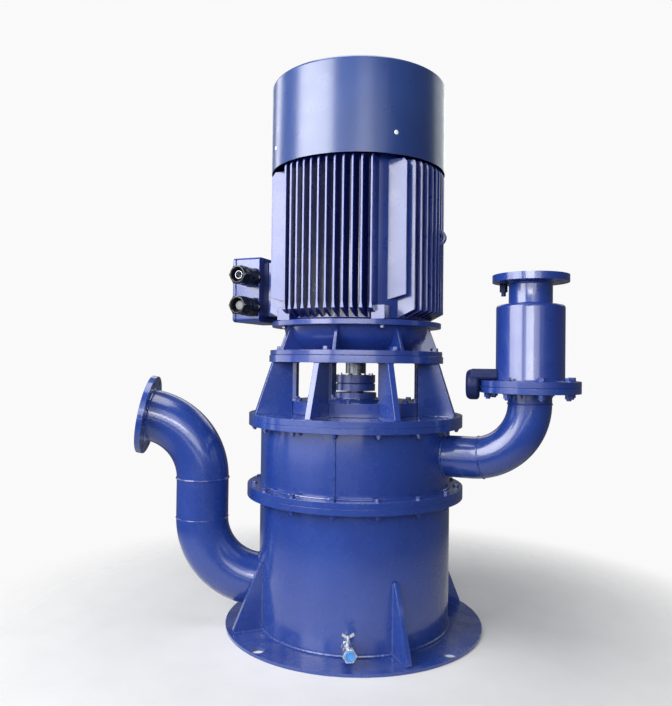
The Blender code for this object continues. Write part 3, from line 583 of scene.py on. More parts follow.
def hex_prism(flat, foot, top, hole=0.0, both_ends=False):
    """A hexagonal head or nut with the usual turned chamfer."""
    side = hexagon(flat)
    turned = flat * CHAMFER_SHARE

    def fall(angle):
        return max(0.0, side(angle) - turned) * CHAMFER_SLOPE

    profile = [(hole, foot), (side, foot)]
    if both_ends:
        profile = [(hole, foot), (turned, foot), (side, lambda angle: foot + fall(angle))]
    profile += [(side, lambda angle: top - fall(angle)), (turned, top), (hole, top)]
    return formed(profile, SMALL)


def bolt_head(size):
    flat, head, _, washer_r, washer, _ = BOLT_SIZES[size]
    return joined([disc(washer_r, 0.0, washer, sides=SMALL), hex_prism(flat, washer, washer + head)])


def nut_with_end(size):
    flat, _, nut, washer_r, washer, thread_r = BOLT_SIZES[size]
    top = washer + nut
    tip = top + NUT_PROUD
    end = [(0.0, washer), (thread_r, washer), (thread_r, tip - THREAD_END), (thread_r * 0.8, tip), (0.0, tip)]
    shapes = [disc(washer_r, 0.0, washer, sides=SMALL), hex_prism(flat, washer, top, both_ends=True)]
    return joined(shapes + [formed(end, SMALL)])


def circle_places(radius, count, start, height, downwards=False):
    """Placements on a circle, each with its own turn about its axis."""
    draw = random.Random(SEED)
    flip = Matrix.Rotation(pi, 4, "X") if downwards else IDENTITY
    spots = [polar(radius, start + 360.0 * number / count, height) for number in range(count)]
    return [shift(spot) @ flip @ spin(draw.uniform(0.0, 60.0)) for spot in spots]


def heads_on(size, *circle_and_height):
    return copies(bolt_head(size), circle_places(*circle_and_height))


def flange_holes(place, pitch_r, length):
    """Pins that cut a pipe flange's bolt holes."""
    spots = [polar(pitch_r, FLANGE_HOLE_START + 360.0 * hole / FLANGE_HOLES) for hole in range(FLANGE_HOLES)]
    return copies(disc(HOLE_R, -length / 2, length / 2, sides=SMALL), [place @ shift(spot) for spot in spots])


# Materials
class Surface:
    """A material with helpers that add and link nodes."""

    def __init__(self, name, **fixed):
        self.material = bpy.data.materials.new(name)
        self.material.use_nodes = True
        self.tree = self.material.node_tree
        self.shader = self.tree.nodes["Principled BSDF"]
        for socket, value in fixed.items():
            self.feed(self.shader.inputs[socket.replace("_", " ")], value)
        self.place = self.node("TexCoord").outputs["Object"]

    def feed(self, socket, value):
        """Links an output to a socket, or sets the socket's own value."""
        if isinstance(value, bpy.types.NodeSocket):
            self.tree.links.new(value, socket)
        else:
            socket.default_value = value

    def node(self, kind, sockets=(), **values):
        """A new node with its settings, then its sockets' values or links."""
        made = self.tree.nodes.new("ShaderNode" + kind)
        for key, value in values.items():
            setattr(made, key, value)
        for socket, value in sockets:
            self.feed(made.inputs[socket], value)
        return made

    def noise(self, scale, detail=2.0, roughness=0.5, *ranges, stretch=None):
        """Noise, mapped from one range to another where ranges are given."""
        place = self.place
        if stretch:
            place = self.node("Mapping", [("Vector", place), ("Scale", stretch)]).outputs["Vector"]
        sockets = [("Scale", scale), ("Detail", detail), ("Roughness", roughness), ("Vector", place)]
        value = self.node("TexNoise", sockets).outputs["Fac"]
        return self.spread(value, *ranges) if ranges else value

    def spread(self, value, low_in, high_in, low_out=0.0, high_out=1.0):
        """A value mapped from one range to another and clamped."""
        sockets = [("Value", value), ("From Min", low_in), ("From Max", high_in)]
        sockets += [("To Min", low_out), ("To Max", high_out)]
        return self.node("MapRange", sockets).outputs["Result"]

    def reckon(self, operation, *values):
        return self.node("Math", enumerate(values), operation=operation).outputs["Value"]

    def mix(self, factor, first, second):
        """A colour mix; first and second are colours or colour outputs."""
        sockets = [("Factor", factor)]
        for socket, colour in ((6, first), (7, second)):
            sockets.append((socket, (*colour, 1.0) if isinstance(colour, tuple) else colour))
        return self.node("Mix", sockets, data_type="RGBA").outputs[2]

    def reach(self):
        """The distance from the pump's axis."""
        sockets = [(0, self.place), (1, (1.0, 1.0, 0.0))]
        flat = self.node("VectorMath", sockets, operation="MULTIPLY").outputs["Vector"]
        return self.node("VectorMath", [(0, flat)], operation="LENGTH").outputs["Value"]

    def least_offset(self):
        """The lesser distance from the two upright planes that run along the axes."""
        parts = self.node("SeparateXYZ", [("Vector", self.place)])
        return self.reckon("MINIMUM", *(self.reckon("ABSOLUTE", parts.outputs[name]) for name in "XY"))

    def facing_up(self):
        normal = self.node("NewGeometry").outputs["Normal"]
        parts = self.node("SeparateXYZ", [("Vector", normal)])
        return self.spread(parts.outputs["Z"], 0.55, 1.0)

    def bumps(self, *layers):
        """Bump from (height output, strength, distance) layers, one on another."""
        sockets = []
        for height, strength, distance in layers:
            sockets += [("Height", height), ("Strength", strength), ("Distance", distance)]
            sockets = [("Normal", self.node("Bump", sockets).outputs["Normal"])]
        self.feed(self.shader.inputs["Normal"], sockets[0][1])

    def paint(self, colour, roughness):
        self.feed(self.shader.inputs["Base Color"], colour)
        self.feed(self.shader.inputs["Roughness"], roughness)
        return self.material


def scaled(colour, share, more=0.0):
    return tuple(share * part + more for part in colour)


def enamel(name, colours, gloss, grain, shade_fin_gaps=False, **fixed):
    """Sprayed enamel: cloudy colour, orange peel, cast or rolled grain below, dust on top, and where asked
    painted shade deep between the motor's fins.
    """
    made = Surface(name, **{"Coat_Weight": 0.8, "Coat_Roughness": 0.12, "IOR": 1.5, **fixed})
    deep, light = colours
    colour = made.mix(made.noise(2.6, 4.0, 0.55, 0.3, 0.7), deep, light)
    colour = made.mix(made.noise(85.0, 3.0, 0.6, 0.35, 0.75, 0.0, 0.12), colour, scaled(light, 1.25))
    if shade_fin_gaps:
        # painted shade: the colour darkens towards the fins' roots inside the outermost fins, where shade
        # falls in the gaps
        fin_root_shade = made.spread(made.reach(), FIN_R - 0.012, FIN_R - 0.0015, 1.0, 0.0)
        between = made.spread(made.least_offset(), OUTER_FIN - 0.001, OUTER_FIN, 1.0, 0.0)
        colour = made.mix(made.reckon("MULTIPLY", fin_root_shade, between), colour, FIN_GAP_SHADE)
    patches = made.noise(11.0, 5.0, 0.62, 0.42, 0.72)
    dust = made.reckon("MULTIPLY", made.reckon("MULTIPLY", made.facing_up(), patches), 0.22)
    colour = made.mix(dust, colour, DUST)
    shine = made.noise(17.0, 4.0, 0.6, 0.3, 0.7, *gloss)
    scale, strength = grain
    made.bumps((made.noise(scale, 3.0, 0.6), strength, 0.0006), (made.noise(140.0), 0.02, 0.0010))
    return made.paint(colour, shine)


def steel(name, tint):
    """Turned or plated metal: lines round it and faint stains."""
    made = Surface(name, Metallic=1.0)
    lines = made.noise(60.0, 3.0, 0.6, stretch=(1.0, 1.0, 14.0))
    colour = made.mix(made.noise(22.0, 4.0, 0.6, 0.45, 0.75, 0.0, 0.45), tint, scaled(tint, 0.62))
    made.bumps((lines, 0.10, 0.0003))
    return made.paint(colour, made.spread(lines, 0.3, 0.7, 0.20, 0.38))


def moulded(name, colour, roughness):
    """Moulded plastic or rubber: a fine even grain and scuffs."""
    made = Surface(name)
    tone = made.mix(made.noise(40.0, 4.0, 0.6, 0.45, 0.8, 0.0, 0.35), colour, scaled(colour, 1.6, 0.012))
    shine = made.noise(70.0, 3.0, 0.6, 0.3, 0.7, roughness - 0.08, roughness + 0.08)
    made.bumps((made.noise(650.0), 0.10, 0.0003))
    return made.paint(tone, shine)


# painted shade for the deep gaps between the motor's fins
FIN_GAP_SHADE = (0.002, 0.005, 0.085)  # deep between the motor's fins
DUST = (0.19, 0.21, 0.30)
PLATE_BLUE = (0.009, 0.030, 0.185), (0.016, 0.047, 0.245)
CAST_BLUE = (0.008, 0.024, 0.165), (0.014, 0.039, 0.225)
COWL_BLUE = (0.010, 0.029, 0.130), (0.017, 0.046, 0.180)
# painted shade: a near-black copy of the blue enamel for pieces that sit in shade (the terminal box's neck,
# the valve's boss, the hanging outlet bolt)
SHADE_BLUE = (0.004, 0.008, 0.045), (0.007, 0.014, 0.072)
DULL = {"Coat_Weight": 0.0, "Specular_IOR_Level": 0.2}

PLATE = enamel("plate_enamel", PLATE_BLUE, (0.20, 0.34), (420.0, 0.03))
CAST = enamel("cast_enamel", CAST_BLUE, (0.24, 0.40), (330.0, 0.05))
# the motor frame's enamel, with painted shade in its fin gaps
FINNED = enamel("finned_enamel", CAST_BLUE, (0.24, 0.40), (330.0, 0.05), shade_fin_gaps=True)
COWL = enamel("cowl_enamel", COWL_BLUE, (0.26, 0.38), (420.0, 0.01), Coat_Roughness=0.24)
SHADED_ENAMEL = enamel("shaded_enamel", SHADE_BLUE, (0.40, 0.58), (240.0, 0.25), **DULL)
STEEL = steel("turned_steel", (0.62, 0.63, 0.65))
# painted shade: steel darkened for the shaft that sits in shadow under the motor's end shield
SHADED_STEEL = steel("shaded_shaft", (0.20, 0.21, 0.24))
PLATED = steel("plated_valve", (0.54, 0.58, 0.64))
# pale zinc whitened further so the cowl screws read as white dots: partly their own plating, partly a painted
# highlight
ZINC_AND_GLINT = moulded("zinc_white_glint", (0.74, 0.75, 0.77), 0.30)
PLASTIC = moulded("black_plastic_grain", (0.012, 0.012, 0.014), 0.38)
GLOSSY = moulded("gland_plastic", (0.008, 0.009, 0.012), 0.22)
RUBBER = moulded("gasket_rubber", (0.018, 0.018, 0.022), 0.62)
SEAL = moulded("grey_seal", (0.15, 0.155, 0.16), 0.50)
CAP = moulded("blue_cap_grain", (0.06, 0.24, 0.58), 0.32)


# Pump body
def base_plate():
    plate = disc(BASE_R, 0.0, BASE_T, sides=ROUND)
    spots = [shift(polar(ANCHOR_PITCH_R, ANCHOR_START + turn)) for turn in QUARTERS]
    plate = bored(plate, copies(disc(ANCHOR_HOLE_R, -BASE_T, 2 * BASE_T, sides=PLAIN), spots))
    piece("fine_base_plate", plate, PLATE, "base_plate", edge=0.0016, steps=3)


def gussets():
    inner, foot, half = BARREL_R + 0.0005, BASE_T + GAP, GUSSET_T / 2
    outline = [(inner, foot), (GUSSET_R, foot), (GUSSET_R, foot + GUSSET_TOE),
               (inner + GUSSET_HEAD, GUSSET_TOP_Z), (inner, GUSSET_TOP_Z)]
    root = sqrt(BARREL_R ** 2 - half ** 2) + 0.001
    corner = (root, foot + 0.001)
    lines = ((root, GUSSET_TOP_Z - 0.004), corner), (corner, (GUSSET_R - 0.002, foot + 0.001))
    welds = plates("gusset", "base_gusset", outline, GUSSET_T, GUSSET_START, 4, 0.0018, lines, GUSSET_BEAD)
    welds.append(ring_bead(BARREL_R + 0.001, FOOT_BEAD, raised(foot + 0.002)))
    piece("foot_welds", joined(welds), PLATE)


def barrels():
    rows = [
        ("lower", BASE_T + GAP, MID_Z - GAP, IN_BORE_R, IN_AXIS_Z, polar(1.0, IN_ANGLE)),
        ("upper", MID_Z, TOP_Z - GAP, OUT_BORE_R, OUT_AXIS_Z, (1, 0, 0)),
    ]
    for name, foot, top, bore_r, axis_z, outward in rows:
        barrel = disc(BARREL_R, foot, top, BARREL_R - BARREL_WALL, ROUND)
        bore = moved(disc(bore_r, 0.25, 0.45), along((0, 0, axis_z), outward))
        piece(f"fine_{name}_barrel", bored(barrel, bore), PLATE, f"{name}_barrel")
    inner = BARREL_R + GAP
    rows = [
        ("lower_barrel_flange", "lower_barrel_flange", MID_R, MID_FOOT_Z, MID_Z - GAP, inner),
        ("upper_foot_flange", "upper_barrel_foot_flange", MID_R, MID_Z, MID_TOP_Z, inner),
        ("upper_top_flange", "upper_barrel_top_flange", TOP_R, TOP_FOOT_Z, TOP_Z - GAP, inner),
        ("lantern_base", "lantern_base_plate", TOP_R, TOP_Z, FLOOR_Z, 0.0),
    ]
    for name, node, *sizes in rows:
        piece(f"fine_{name}", disc(*sizes, sides=ROUND), PLATE, node, edge=FLANGE_EDGE)


def barrel_welds():
    heights = (MID_FOOT_Z - 0.001, MID_TOP_Z + 0.001, TOP_FOOT_Z - 0.001)
    welds = [ring_bead(BARREL_R + 0.001, FLANGE_BEAD, raised(height)) for height in heights]
    welds.append(saddle_bead(IN_PIPE_R, IN_AXIS_Z, IN_ANGLE, IN_BEADS["saddle"]))
    welds.append(saddle_bead(OUT_PIPE_R, OUT_AXIS_Z, 0.0, OUT_BEADS["saddle"]))
    seams = (SEAM_ANGLE, MID_TOP_Z, TOP_FOOT_Z), (SEAM_ANGLE + 180.0, BASE_T, MID_FOOT_Z)
    for degrees, *heights in seams:
        ends = [polar(BARREL_R - 0.0008, degrees, height) for height in heights]
        welds.append(line_bead(*ends, SEAM_BEAD, 0.004))
    piece("barrel_welds", joined(welds), PLATE)


def barrel_bolts():
    piece("barrel_bolt_heads", heads_on("m12", *FLANGE_BOLTS, MID_TOP_Z), PLATE, edge=BOLT_EDGE)
    stud = disc(BOLT_SIZES["m12"][-1], 0.0, STUD_RISE, sides=SMALL)
    ends = circle_places(*FLANGE_BOLTS, FLOOR_Z)
    piece("lantern_stud_ends", copies(stud, ends), PLATE, edge=BOLT_EDGE)
    nuts = circle_places(*FLANGE_BOLTS, MID_FOOT_Z, True)
    nuts += circle_places(*FLANGE_BOLTS, TOP_FOOT_Z, True)
    piece("barrel_nuts", copies(nut_with_end("m12"), nuts), PLATE, edge=BOLT_EDGE)


# Lantern, bearing housing and shaft line
def lantern():
    ring = disc(RING_R, RING_FOOT_Z, RING_TOP_Z, RING_INNER_R, ROUND)
    piece("fine_lantern_ring", ring, PLATE, "lantern_top_ring", edge=EDGE)
    inner, foot, head = RIB_INNER_R, FLOOR_Z + GAP, RING_FOOT_Z - GAP
    outline = [(inner, foot), (RIB_FOOT_R, foot), (RIB_HEAD_R, head), (inner, head)]
    lines = (((inner, foot), (RIB_FOOT_R - 0.003, foot)),
             ((inner, head), (RIB_HEAD_R - 0.003, head)))
    where = RIB_T, RIB_START, RIBS
    welds = plates("lantern_rib", "lantern_rib", outline, *where, 0.0020, lines, RIB_BEAD)
    piece("lantern_welds", joined(welds), PLATE)


def bearing_housing():
    foot, bore, boss, top = FLOOR_Z + GAP, PUMP_SHAFT_R + GAP, HOUSING_BOSS_R, HOUSING_TOP_Z
    cover_z, mouth_z, pit_z = top + 0.006, HOUSING_BOSS_Z - 0.004, HOUSING_BOSS_Z - 0.030
    profile = [(0.0, foot), (HOUSING_R, foot), (HOUSING_R, top), (boss + 0.035, top),
               (boss + 0.030, cover_z), (boss + 0.002, cover_z), (boss, top + 0.008),
               (boss, HOUSING_BOSS_Z), (bore + 0.010, HOUSING_BOSS_Z),
               (bore + 0.008, mouth_z), (bore, mouth_z), (bore, pit_z), (0.0, pit_z)]
    body = formed(profile, ROUND)
    piece("fine_bearing_housing", body, CAST, "bearing_housing", edge=0.0025, steps=3)
    shapes = [heads_on("m12", *COVER_BOLTS, top), heads_on("m8", *SEAL_BOLTS, cover_z)]
    piece("housing_bolts", joined(shapes), CAST, edge=0.0004)


def coupling():
    outer, split, foot = HUB_R, HUB_SPLIT_Z, HUB_SPLIT_Z + GAP
    pit, inner = HOUSING_BOSS_Z - 0.025, MOTOR_SHAFT_R + GAP
    lower = [(0.0, pit), (PUMP_SHAFT_R, pit), (PUMP_SHAFT_R, HUB_FOOT_Z), (outer, HUB_FOOT_Z),
             (outer, split - 0.002), (outer - 0.004, split - 0.001), (outer - 0.004, split), (0.0, split)]
    upper = [(inner, foot), (outer - 0.004, foot), (outer - 0.004, foot + 0.001),
             (outer, foot + 0.002), (outer, HUB_TOP_Z), (inner, HUB_TOP_Z)]
    for name, profile in (("lower", lower), ("upper", upper)):
        hub = formed(profile, MEDIUM)
        piece(f"fine_coupling_{name}", hub, CAST, f"coupling_{name}_hub", "rotor", 0.0020)
    shaft = disc(MOTOR_SHAFT_R, foot, MOTOR_SHAFT_TOP_Z)
    # the motor shaft in the darkened steel: painted shade under the end shield
    piece("fine_motor_shaft", shaft, SHADED_STEEL, "motor_shaft", "rotor", EDGE)
    heads = heads_on("m8", *HUB_BOLTS, HUB_TOP_Z)
    piece("coupling_bolts", heads, STEEL, None, "rotor", 0.0004)


# Motor
def end_shield():
    bore, outer, face = MOTOR_SHAFT_R + GAP, MOTOR_FLANGE_R, MOTOR_FLANGE_Z + MOTOR_FLANGE_T
    profile = [(bore, MOTOR_FLANGE_Z), (outer, MOTOR_FLANGE_Z), (outer, face), (SHIELD_BOWL[0][0], face)]
    profile += smooth_curve(SHIELD_BOWL, 4)[1:]
    profile += [(SHIELD_RING_R, SHIELD_RING_Z), (SHIELD_RING_R, SHIELD_TOP_Z), (bore, SHIELD_TOP_Z)]
    shapes = [formed(profile, ROUND)]
    inner, foot_r, head = SHIELD_RIB_INNER_R, SHIELD_RIB_FOOT_R, SHIELD_RING_Z + 0.004
    outline = [(inner, face - 0.004), (foot_r, face - 0.004), (foot_r, face + 0.004),
               (SHIELD_RIB_HEAD_R, head), (inner, head)]
    for rib in range(SHIELD_RIBS):
        shapes.append(standing_plate(outline, SHIELD_RIB_T, SHIELD_RIB_START + 360.0 * rib / SHIELD_RIBS))
    piece("fine_end_shield", joined(shapes), CAST, "motor_end_shield", edge=0.0020, steps=3)
    x, y = sum(LUG_X) / 2 + 0.008, sum(LUG_Y) / 2 + 0.008
    flip = Matrix.Rotation(pi, 4, "X")
    places = [shift((x_sign * x, y_sign * y, SHIELD_RING_Z)) @ flip for x_sign, y_sign in CORNERS]
    shapes = [heads_on("m16", *MOTOR_BOLTS, face)]
    piece("motor_bolts", joined(shapes + [copies(bolt_head("m12"), places)]), CAST, edge=BOLT_EDGE)


def fin(across):
    """One cooling fin of the +X group: with a spread foot and a rounded top corner."""
    root = sqrt(CORE_R ** 2 - across ** 2) - 0.004
    tip = sqrt(FIN_R ** 2 - across ** 2)
    root_foot = FRAME_Z + FIN_FOOT_RISE
    tip_foot = root_foot + FIN_FOOT_SLOPE * (FIN_R - CORE_R)
    rows = [(root_foot + rise, tip_foot + rise, root_t, tip_t, tip) for rise, root_t, tip_t in (
        (0.0, FIN_T * 1.4, FIN_FLARE), (0.008, FIN_T * 1.3, 0.011), (FIN_FLARE_HEIGHT, FIN_T, FIN_T))]
    for drop, short in ((0.016, 0.0), (0.005, 0.003), (0.0, 0.009)):
        rows.append((FIN_TOP_Z - drop, FIN_TOP_Z - drop, FIN_T, FIN_T, tip - short))
    shape = bmesh.new()
    rings = []
    for root_z, tip_z, root_t, tip_t, reach in rows:
        corners = [(root, across - root_t / 2, root_z), (reach, across - tip_t / 2, tip_z),
                   (reach, across + tip_t / 2, tip_z), (root, across + root_t / 2, root_z)]
        rings.append([shape.verts.new(corner) for corner in corners])
    return skinned(shape, rings)


def frame_corners():
    """Lugs, side fins and the bare skin at the frame's four corners."""
    start, end, foot = 45.0 - SKIN_DEGREES / 2, 45.0 + SKIN_DEGREES / 2, FRAME_Z + 0.008
    skin = arc((0.0, 0.0), CORE_R + 0.0006, start, end, 10) + arc((0.0, 0.0), CORE_R - 0.002, end, start, 10)
    shapes = [moved(extruded(skin, FIN_TOP_Z - 0.002 - foot), raised(foot) @ spin(turn)) for turn in QUARTERS]
    inner, outer, top = *SIDE_FIN_X, FIN_TOP_Z - 0.001
    outline = [(inner, SIDE_FIN_Z - 0.010), (outer, SIDE_FIN_Z + 0.013), (outer, FIN_TOP_Z - 0.014),
               (outer - 0.010, top), (inner, top)]
    for x_sign, y_sign in CORNERS:
        near, far = ((x_sign * x, y_sign * y) for x, y in zip(LUG_X, LUG_Y))
        shapes.append(block((*near, FRAME_Z), (*far, LUG_Z)))
        plate = standing_plate([(x_sign * x, z) for x, z in outline], SIDE_FIN_T, 0.0)
        shapes.append(moved(plate, shift((0, y_sign * SIDE_FIN_Y, 0))))
    piece("frame_corners", joined(shapes), CAST, edge=EDGE)


def motor_frame():
    frame_corners()
    bore, rear_r, rear_z = MOTOR_SHAFT_R + GAP, REAR_SHIELD_R, REAR_SHIELD_Z
    profile = [(bore, FRAME_Z), (CORE_R - 0.006, FRAME_Z), (CORE_R, FRAME_Z + 0.006), (CORE_R, FIN_TOP_Z),
               (rear_r, FIN_TOP_Z + 0.001), (rear_r, rear_z), (0.120, rear_z),
               (0.110, rear_z - 0.004), (bore, rear_z - 0.004)]
    shapes = [formed(profile, ROUND)]
    offsets = [(index - (FINS_PER_SIDE - 1) / 2) * FIN_PITCH for index in range(FINS_PER_SIDE)]
    shapes += [moved(fin(across), spin(turn)) for turn in QUARTERS for across in offsets]
    inset, half = BOX_NECK_INSET - GAP, BOX_NECK_HALF_Y
    shapes.append(block((BOX_PAD_X, -half, BOX_Z[0] + inset), (BOX_PAD_ROOT_X, half, BOX_Z[1] - inset)))
    lug_r, half = COWL_R - COWL_WALL - 0.0011, COWL_LUG_HALF
    lug = (COWL_LUG_R, -half, COWL_LUG_Z), (lug_r, half, rear_z - 0.002)
    shapes += [moved(block(*lug), spin(45.0 + turn)) for turn in QUARTERS]
    piece("fine_motor_frame", joined(shapes), FINNED, "motor_frame", edge=EDGE)


def fan_cowl():
    inner, roof, edge = COWL_R - COWL_WALL, COWL_TOP_Z - COWL_WALL, COWL_EDGE_R
    profile = [(COWL_R, COWL_Z)] + arc((COWL_R - edge, COWL_TOP_Z - edge), edge, 0, 90, 6)
    profile += [(0.0, COWL_TOP_Z), (0.0, roof), (inner - 0.008, roof), (inner, roof - 0.008), (inner, COWL_Z)]
    cowl = formed(profile, COWL_SIDES)
    narrow = SLOT_HALF * SLOT_TAPER
    outline = [(SLOT_INNER_R, -narrow), (SLOT_OUTER_R, -SLOT_HALF)]
    outline += arc((SLOT_OUTER_R - SLOT_END, 0.0), SLOT_END, -90, 90, 8, SLOT_HALF)[1:-1]
    outline += [(SLOT_OUTER_R, SLOT_HALF), (SLOT_INNER_R, narrow)]
    lift = raised(COWL_TOP_Z - edge)
    places = [spin(SLOT_START + 360.0 * slot / SLOTS) @ lift for slot in range(SLOTS)]
    cowl = bored(cowl, copies(extruded(outline, 2 * edge), places))
    piece("fine_fan_cowl", cowl, COWL, "fan_cowl")
    slot_foot = SCREW_RIM * 2
    head = [(0.0, -0.002), (SCREW_R, -0.002), (SCREW_R, SCREW_RIM)]
    head += arc((0.0, SCREW_RIM), SCREW_R, 0, 75, 6, SCREW_RISE)[1:-1]
    head += [(SCREW_SLOT_R, SCREW_RIM + SCREW_RISE), (SCREW_SLOT_R, slot_foot), (0.0, slot_foot)]
    outwards = [polar(1.0, 45.0 + turn) for turn in QUARTERS]
    places = [along(outward * (COWL_R - 0.0032) + UP * COWL_SCREW_Z, outward) for outward in outwards]
    # the screw heads' whiteness is partly plating, partly a painted highlight
    piece("cowl_screws", copies(formed(head, SMALL), places), ZINC_AND_GLINT)


def box_layer(half_y, inset, x_low, x_high):
    """A slice of the terminal box between two x places, with rounded corners."""
    lay = Matrix(((0, 0, 1, 0), (1, 0, 0, 0), (0, 1, 0, 0), (0, 0, 0, 1)))
    outline = rounded_outline((-half_y, BOX_Z[0] + inset), (half_y, BOX_Z[1] - inset), BOX_CORNER_R)
    return moved(extruded(outline, x_high - x_low), shift((x_low, 0, 0)) @ lay)


def neck_block(x_low, x_high, wider=0.0):
    """A block as wide and high as the terminal box's neck, or a little more."""
    half, inset = BOX_NECK_HALF_Y + wider, BOX_NECK_INSET - wider
    return block((x_low, -half, BOX_Z[0] + inset), (x_high, half, BOX_Z[1] - inset))


def terminal_box():
    lid_face = BOX_OUTER_X + BOX_LID_T
    body = box_layer(BOX_BODY_HALF_Y, 0.0, lid_face + GAP, BOX_FACE_X)
    piece("fine_terminal_box", body, CAST, "terminal_box", edge=0.0022, steps=3)
    neck = neck_block(BOX_FACE_X - 0.008, BOX_PAD_X - GAP)
    rim = neck_block(BOX_PAD_X - 0.0073, BOX_PAD_X - 0.0023, 0.003)
    # the neck and its rim get the near-black enamel: painted shade for the recess behind the box
    piece("terminal_neck", joined([neck, rim]), SHADED_ENAMEL, edge=0.0016)
    lid = box_layer(BOX_HALF_Y, 0.0, BOX_OUTER_X, lid_face - GASKET_T)
    piece("fine_terminal_lid", lid, CAST, "terminal_box_lid", edge=0.0035, steps=3)
    gasket = box_layer(BOX_BODY_HALF_Y - GASKET_INSET, GASKET_INSET, lid_face - GASKET_T, lid_face + GAP)
    piece("terminal_gasket", gasket, RUBBER)
    socket, inset = hexagon(0.0026), LID_SCREW_INSET
    head = [(0.0, -0.004), (0.0052, -0.004), (0.0052, 0.0), (0.0048, 0.0006), (socket, 0.0006),
            (socket, -0.0025), (0.0, -0.0025)]
    spots = [(y, z) for y in (-LID_SCREW_Y, LID_SCREW_Y) for z in (BOX_Z[0] + inset, BOX_Z[1] - inset)]
    places = [along((BOX_OUTER_X + 0.0008, *spot), (-1, 0, 0)) for spot in spots]
    piece("lid_screws", copies(formed(head, SMALL), places), STEEL)


def cable_glands():
    side, turned, front, pit = hexagon(GLAND_NUT), GLAND_NUT * CHAMFER_SHARE, GLAND_LENGTH, GLAND_PIT
    mouth = GLAND_MOUTH_R - 0.003
    outer = GLAND_BODY_R
    body = [(0.0, 0.014), (outer, 0.014), (outer, 0.064), (outer - 0.003, 0.068), (0.0, 0.068)]
    nut = [(0.0, 0.070), (turned, 0.070), (side, 0.073), (side, front - 0.005), (turned, front - 0.001),
           (turned - 0.003, front), (GLAND_MOUTH_R, front), (mouth, front - 0.004), (mouth, pit), (0.0, pit)]
    ring = [(0.0128, pit), (0.0150, pit), (0.0150, 0.102), (0.0144, 0.103), (0.0134, 0.103), (0.0128, 0.101)]
    plug = [(0.0, pit), (0.0175, pit), (0.0175, 0.092), (0.0150, 0.095), (0.0, 0.096)]
    places = {name: along((GLAND_X, -BOX_BODY_HALF_Y - GAP, height), (0, -1, 0))
              for name, height in GLAND_ZS.items()}
    for name, place in places.items():
        collar = hex_prism(GLAND_COLLAR, 0.0, 0.016, both_ends=True)
        made = moved(joined([collar, formed(body, MEDIUM), formed(nut, FLANGED)]), place)
        piece(f"fine_gland_{name}", made, GLOSSY, f"cable_gland_{name}", edge=0.0009)
    piece("gland_seal_upper", moved(formed(ring, MEDIUM), places["upper"]), PLATED)
    piece("gland_seal_lower", moved(formed(plug, MEDIUM), places["lower"]), SEAL)


def lifting_eyes():
    inner = CORE_R + GAP
    outline = [(inner, -EYE_ROOT)] + arc((EYE_X, 0.0), EYE_R, -70, 70, 20) + [(inner, EYE_ROOT)]
    for name, sign, degrees in (("right", 1, 0.0), ("left", -1, 180.0)):
        eye = moved(standing_plate(outline, EYE_T, degrees), raised(EYE_Z))
        place = along((sign * EYE_HOLE_X, 0, EYE_Z), (0, 1, 0))
        eye = bored(eye, moved(disc(EYE_HOLE_R, -EYE_T, EYE_T, sides=PLAIN), place))
        piece(f"fine_eye_{name}", eye, CAST, f"lifting_eye_{name}", edge=0.0034, steps=3)


# Suction side
def grooves(outermost, bore, height):
    """Fine rings turned into a flange's face, from the outermost inwards."""
    points = []
    while outermost > bore + 0.006:
        points += [(outermost + 0.0006, height), (outermost, height - 0.0005), (outermost - 0.0006, height)]
        outermost -= 0.0035
    return points + [(bore, height)]


def suction_pipe():
    outward = polar(1.0, IN_ANGLE)
    pipe_r, bore, bend_r, thick = IN_PIPE_R, IN_BORE_R, IN_BEND_R, IN_FLANGE_T
    foot, joint, top = outward * IN_RISER_R, IN_AXIS_Z + bend_r, IN_RISER_TOP_Z
    first = outward * (IN_RISER_R - bend_r) + UP * IN_AXIS_Z
    elbow = pipe_along(bend(first, outward, UP, bend_r, 90.0), pipe_r, bore)
    elbow = bored(elbow, disc(BARREL_R + GAP, 0.0, MID_Z, sides=ROUND))
    piece("fine_suction_lower_elbow", elbow, PLATE, "suction_lower_elbow")
    riser = moved(disc(pipe_r, joint, top, bore), shift(foot))
    piece("fine_suction_riser", riser, PLATE, "suction_riser")
    stations = bend(foot + UP * top, UP, outward, bend_r, IN_BEND_DEG)
    upper = pipe_along(stations, pipe_r, bore)
    piece("fine_suction_upper_elbow", upper, PLATE, "suction_upper_elbow")
    mouth, heading = stations[-1]
    place = along(mouth + heading * GAP, heading)
    outer, face_r, rim = IN_FLANGE_R, IN_FACE_R, thick - 0.002
    profile = [(bore, 0.0), (outer, 0.0), (outer, rim), (face_r + 0.002, rim), (face_r, thick)]
    flange = moved(formed(profile + grooves(face_r - 0.005, bore, thick), FLANGED), place)
    holes = flange_holes(along(mouth + heading * (thick / 2), heading), IN_BOLT_R, 3 * thick)
    piece("fine_suction_flange", bored(flange, holes), PLATE, "suction_flange", edge=EDGE)
    welds = [ring_bead(pipe_r, IN_BEADS["lower"], shift(foot + UP * joint)),
             ring_bead(pipe_r, IN_BEADS["upper"], shift(foot + UP * top)),
             ring_bead(pipe_r + 0.001, IN_BEADS["flange"], place @ raised(-0.001))]
    piece("suction_welds", joined(welds), PLATE)


# Discharge side
OUT_PLACE = shift((OUT_X, 0, 0))


